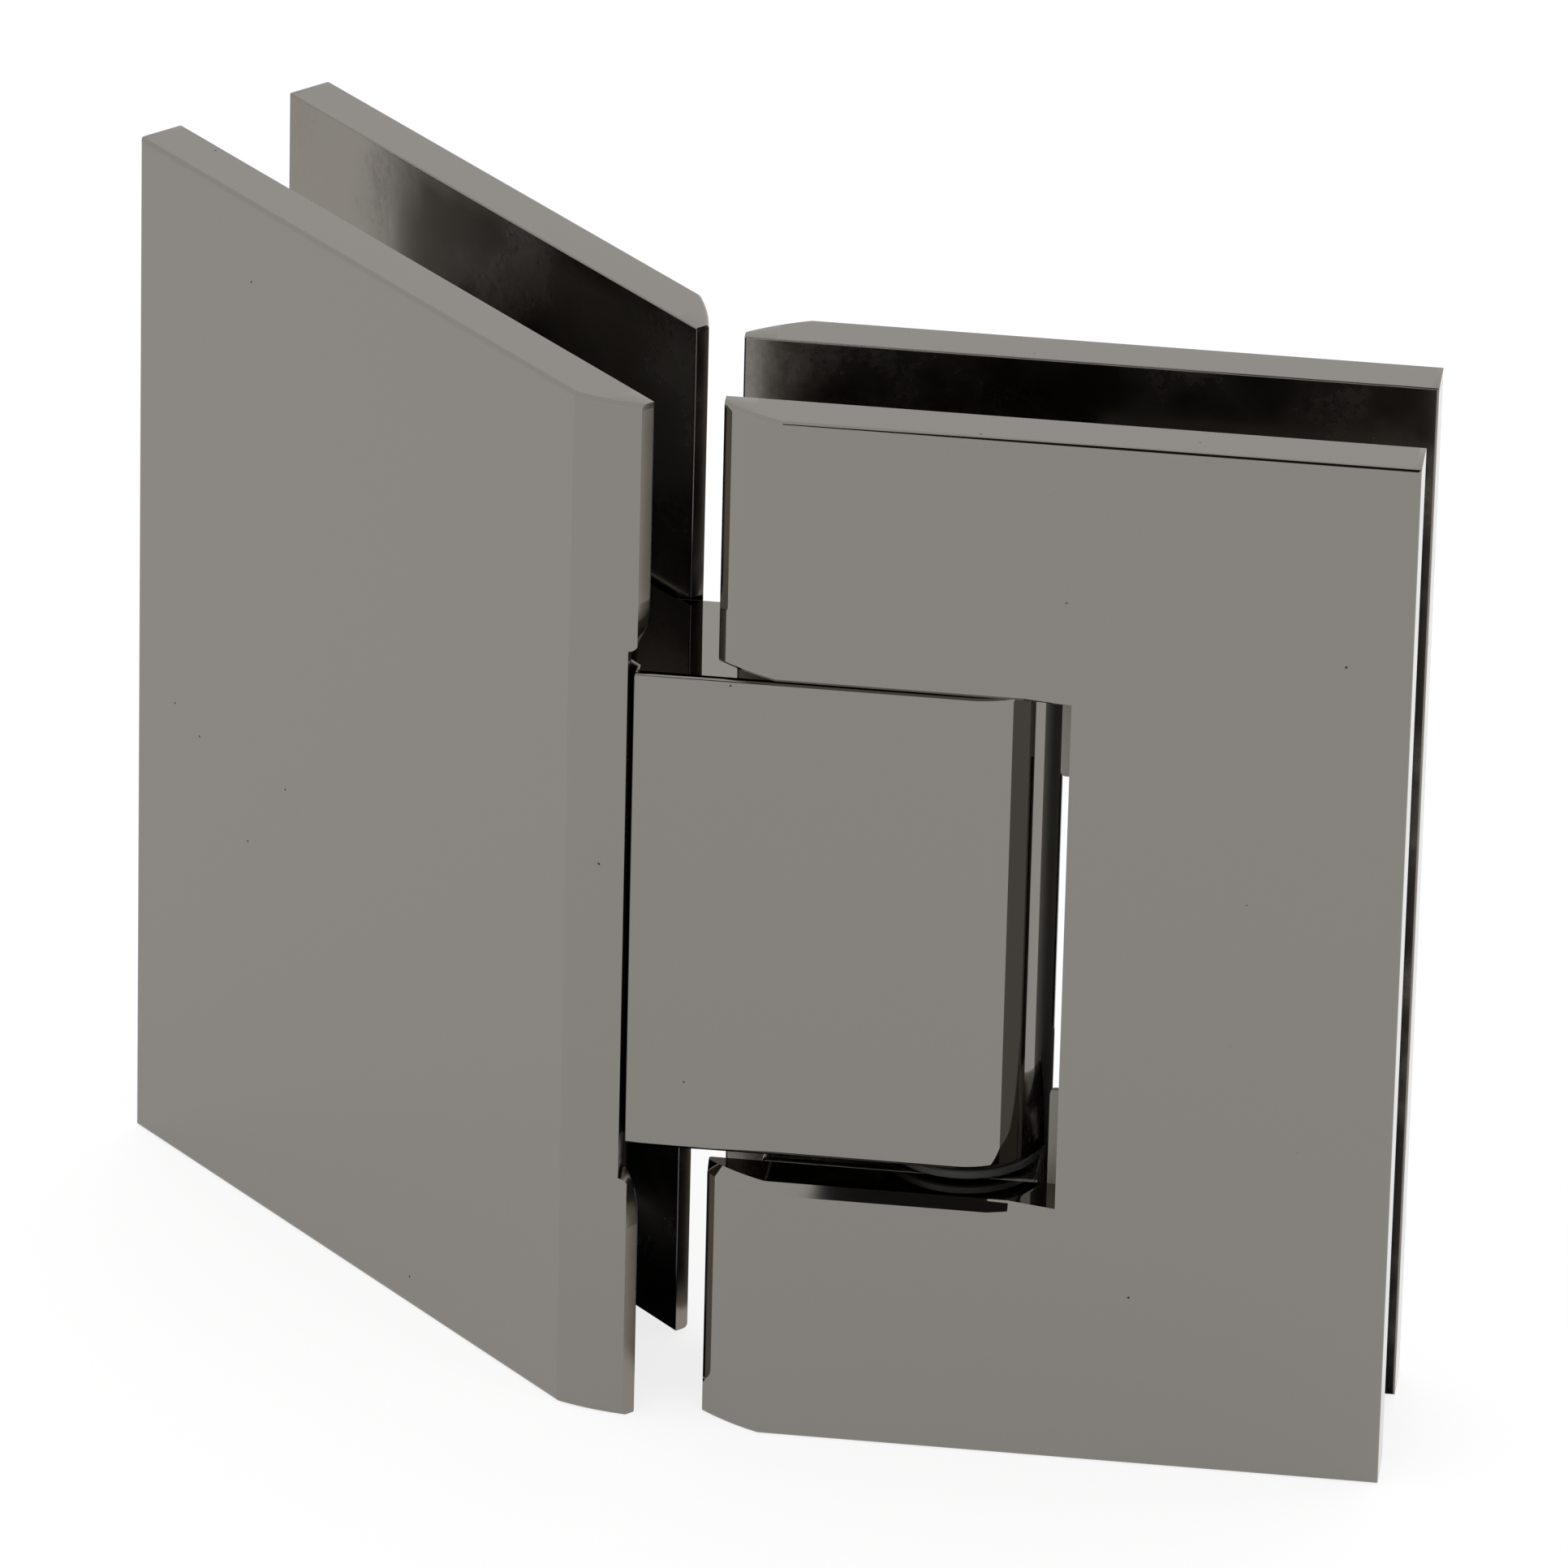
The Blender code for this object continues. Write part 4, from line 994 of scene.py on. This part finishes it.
# %% [markdown]
# ## Pin, bushings, washers, plungers and springs
# The pin is turned steel, milled flat in four places for the plungers and in one at each end for a
# set screw. A flat at distance f from the axis is the smaller of two radii, the pin's own and
# f / cos(a). The spring is a tube along a helix: a circle carried along x that turns with the angle.

# %% Pin
pin_low, pin_high = span("pivot_pin", "door")
PIN = pin_high[1]
PIN_END = PIN - PIN_STEP
DETENT_FLAT, KEY_FLAT, KEY_HALF, SLIVER = 0.6, 0.4, 2.5, 0.02
pin_half = (pin_high[2] - pin_low[2]) / 2
shoulder_height = (NOTCH_HIGH - NOTCH_LOW) / 2 - FIT
flat_half = seat - FIT
carrier_low, carrier_high = span("pin_carrier_upper", "door")
key_middle = (carrier_low[2] + carrier_high[2]) / 2 - MIDDLE
PIN_COUNT = 96
angles = np.arange(PIN_COUNT) * math.tau / PIN_COUNT
quarter = np.mod(angles + math.pi / 4, math.pi / 2) - math.pi / 4
no_flat = np.full(PIN_COUNT, PIN)
four_flats = (PIN - DETENT_FLAT) / np.cos(quarter)
key_flat = (PIN_END - KEY_FLAT) / np.maximum(np.cos(angles), 0.1)
rings = [
    (pin_half, 0.0, no_flat),
    (pin_half, PIN_END - 0.5, no_flat),
    (pin_half - 0.5, PIN_END, no_flat),
    (key_middle + KEY_HALF, PIN_END, no_flat),
    (key_middle + KEY_HALF - SLIVER, PIN_END, key_flat),
    (key_middle - KEY_HALF + SLIVER, PIN_END, key_flat),
    (key_middle - KEY_HALF, PIN_END, no_flat),
    (shoulder_height, PIN_END, no_flat),
    (shoulder_height, PIN - 0.2, no_flat),
    (shoulder_height - 0.2, PIN, no_flat),
    (flat_half + SLIVER, PIN, no_flat),
    (flat_half, PIN, four_flats),
]
rings += [(-height, radius, flat) for height, radius, flat in reversed(rings)]
radius = np.array([np.minimum(radius, flat) for _, radius, flat in rings])
height = np.array([height for height, _, _ in rings])
pin_mesh = mesh_from("pivot_pin", [about_axis(radius, height, (0.0, 0.0, MIDDLE))], "door")
add_piece("pivot_pin", pin_mesh, "door_leaf", "stainless_steel", (stainless,))

# %% [markdown]
# A ring's profile runs over its rims and through its bore back to its own start, so it closes by
# itself. Plunger and spring share an axis, and the plunger's stem keeps the coil from buckling.

# %% Rings, plungers and springs
DOME, PLUNGER_BODY, STEM_RADIUS, PLUNGER_LENGTH = 0.5, 7.6, 1.4, 10.0


def ring_piece(node):
    """A turned ring with softened rims, closed on itself."""
    low, high = span(node, "door")
    outer, bore, half = high[0], PIN + 0.25, (high[2] - low[2]) / 2
    ease = MOUTH_EASE
    profile = [
        (outer - ease, half),
        (outer, half - ease),
        (outer, ease - half),
        (outer - ease, -half),
        (bore + ease, -half),
        (bore, ease - half),
        (bore, half - ease),
        (bore + ease, half),
        (outer - ease, half),
    ]
    mesh = mesh_from(node, [turned(profile, (0.0, 0.0, (low[2] + high[2]) / 2), 2, 96)], "door")
    add_piece(node, mesh, "fixed_leaf", "acetal", (acetal,))


def plunger(node, body):
    """A steel plunger with a domed shoulder and a thin stem for its spring."""
    low, high = span(node, "door")
    radius = (high[2] - low[2]) / 2
    turn = np.linspace(0.0, math.pi / 2, 6)
    dome = DOME * np.column_stack([np.sin(turn), np.cos(turn)]) + (radius - DOME, -DOME)
    profile = [(0.0, 0.0), *dome]
    profile += [
        (radius, BORE_EASE - PLUNGER_BODY),
        (radius - BORE_EASE, -PLUNGER_BODY),
        (STEM_RADIUS, -PLUNGER_BODY),
        (STEM_RADIUS, 0.2 - PLUNGER_LENGTH),
        (STEM_RADIUS - 0.2, -PLUNGER_LENGTH),
        (0.0, -PLUNGER_LENGTH),
    ]
    mesh = mesh_from(node, [turned(profile, (high[0], 0.0, (low[2] + high[2]) / 2), 0)], "door")
    add_piece(node, mesh, body, "stainless_steel", (stainless,))


def spring(node):
    """Tube along (x0 - h t, R cos t, R sin t): a circle of wire carried along the coil's own frame."""
    low, high = span(node, "door")
    wire, coil, turns = 0.4, 2.3, 6
    start, length = high[0] - wire, high[0] - low[0] - 2 * wire
    t = np.linspace(0.0, math.tau * turns, turns * 36 + 1)[:, None]
    around = np.linspace(0.0, math.tau, 12, endpoint=False)
    rise = length / (math.tau * turns)
    outward = coil + wire * np.cos(around)
    sideways = wire * np.sin(around)
    middle = (low[2] + high[2]) / 2
    x = start - rise * t - sideways
    tube = np.stack([x, outward * np.cos(t), middle + outward * np.sin(t)], axis=-1)
    ends = [np.repeat(tube[i].mean(axis=0)[None, None, :], 12, axis=1) for i in (0, -1)]
    mesh = mesh_from(node, [ring_sheet(np.concatenate([ends[0], tube, ends[1]]))], "door")
    add_piece(node, mesh, "fixed_leaf", "spring_steel", (spring_wire,), 50.0)


for level in LEVELS:
    ring_piece("pin_bushing_" + level)
    ring_piece("thrust_washer_" + level)
    plunger("detent_plunger_" + level, level + "_plunger")
    spring("detent_spring_" + level)
meshes = [shown for shown in bpy.context.scene.objects if shown.type == "MESH" and not shown.hide_render]
print("CAD nodes still shown:", [shown.name for shown in meshes if not shown.name.endswith("_fine")])

# %% [markdown]
# ## The stage
# A pale floor, an even white surround and the camera. The metal is a mirror, so it shows its
# surroundings more than its own colour: an even surround keeps the big faces calm. One dark card
# hangs overhead, out of view. Only edges that lean half way up mirror it, and it draws the thin
# dark lines along them. Dark strips under the two glass gaps are painted shade: seen only in
# reflections, they darken the glowing table where the floor between the plates would be in shade.
# The camera stands above the object's right, a long way off with a long lens, which keeps upright
# edges nearly parallel.

# %% Floor, card, light and camera
def sheet_of(name, corners, finish):
    mesh = bpy.data.meshes.new(name)
    mesh.from_pydata(corners, [], [(0, 1, 2, 3)])
    mesh.materials.append(finish)
    made = bpy.data.objects.new(name, mesh)
    bpy.context.scene.collection.objects.link(made)
    return made


WHITE = linear("#FFFFFF")
glow = {"Base Color": linear("#828282"), "Roughness": 0.9}
glow |= {"Emission Color": WHITE, "Emission Strength": 0.8}
light_table, _, _ = new_material("matt white light table", glow)
# Black felt for the overhead flag. The same dark sheet makes the painted shade under the glass gaps.
felt_and_painted_shade, _, _ = new_material("black felt", {"Base Color": linear("#141312"), "Roughness": 1.0})
FLOOR_LEVEL = -0.00005
sheet_of("floor", [(x, y, FLOOR_LEVEL) for x, y in ((-3, -3), (3, -3), (3, 3), (-3, 3))], light_table)
CARD_HEIGHT = 0.3
NEAR_EDGE, FAR_EDGE = -0.42, 0.0
CARD_LEFT, CARD_SLANT, CARD_RIGHT = -0.072, 0.2, 0.5
card_corners = [
    (CARD_LEFT, NEAR_EDGE, CARD_HEIGHT),
    (CARD_LEFT + CARD_SLANT * (FAR_EDGE - NEAR_EDGE), FAR_EDGE, CARD_HEIGHT),
    (CARD_RIGHT, FAR_EDGE, CARD_HEIGHT),
    (CARD_RIGHT, NEAR_EDGE, CARD_HEIGHT),
]
cards = [sheet_of("overhead card", card_corners, felt_and_painted_shade)]
# Painted shade: a dark strip under each glass gap, where the glowing table would otherwise light the floor
# between the plates.
for leaf, low, high in (("fixed", FIXED_LOW[0], FRONT_END), ("door", DOOR_LOW[0], DOOR_HIGH[0])):
    sides = ((low, -1), (high, -1), (high, 1), (low, 1))
    strip = np.array([(x, side * GAP_FACE, -0.02) for x, side in sides])
    cards.append(sheet_of("painted shade strip under the " + leaf + " glass gap", to_world(strip, leaf), felt_and_painted_shade))
for dark in cards:
    dark.visible_camera = False
    dark.visible_diffuse = False

world = bpy.data.worlds.new("white surround")
bpy.context.scene.world = world
world.use_nodes = True
world.node_tree.nodes["Background"].inputs["Color"].default_value = WHITE
world.node_tree.nodes["Background"].inputs["Strength"].default_value = 1.02
bpy.context.scene.view_settings.view_transform = "Standard"


def facing_matrix(place, target, roll):
    """A camera's matrix: -Z at the target, +Y up, then rolled about the line of sight."""
    back = place - target
    back = back / np.linalg.norm(back)
    right = np.cross([0.0, 0.0, 1.0], back)
    right = right / np.linalg.norm(right)
    up = np.cross(back, right)
    matrix = np.eye(4)
    matrix[:3, 0] = math.cos(roll) * right + math.sin(roll) * up
    matrix[:3, 1] = math.cos(roll) * up - math.sin(roll) * right
    matrix[:3, 2] = back
    matrix[:3, 3] = place
    return Matrix(matrix.tolist())


AZIMUTH, ELEVATION, ROLL = (math.radians(angle) for angle in (6.645, 26.929, 1.41))
DISTANCE = 1.2892
LOOK_AT = np.array([3.079, -14.509, 50.895]) * MM
level_part = math.cos(ELEVATION)
towards_camera = np.array(
    [math.sin(AZIMUTH) * level_part, -math.cos(AZIMUTH) * level_part, math.sin(ELEVATION)]
)
camera = bpy.data.objects.new("camera", bpy.data.cameras.new("camera"))
camera.data.lens = 376.37
camera.data.sensor_width = 36.0
bpy.context.scene.collection.objects.link(camera)
camera.matrix_world = facing_matrix(LOOK_AT + DISTANCE * towards_camera, LOOK_AT, ROLL)
bpy.context.scene.camera = camera
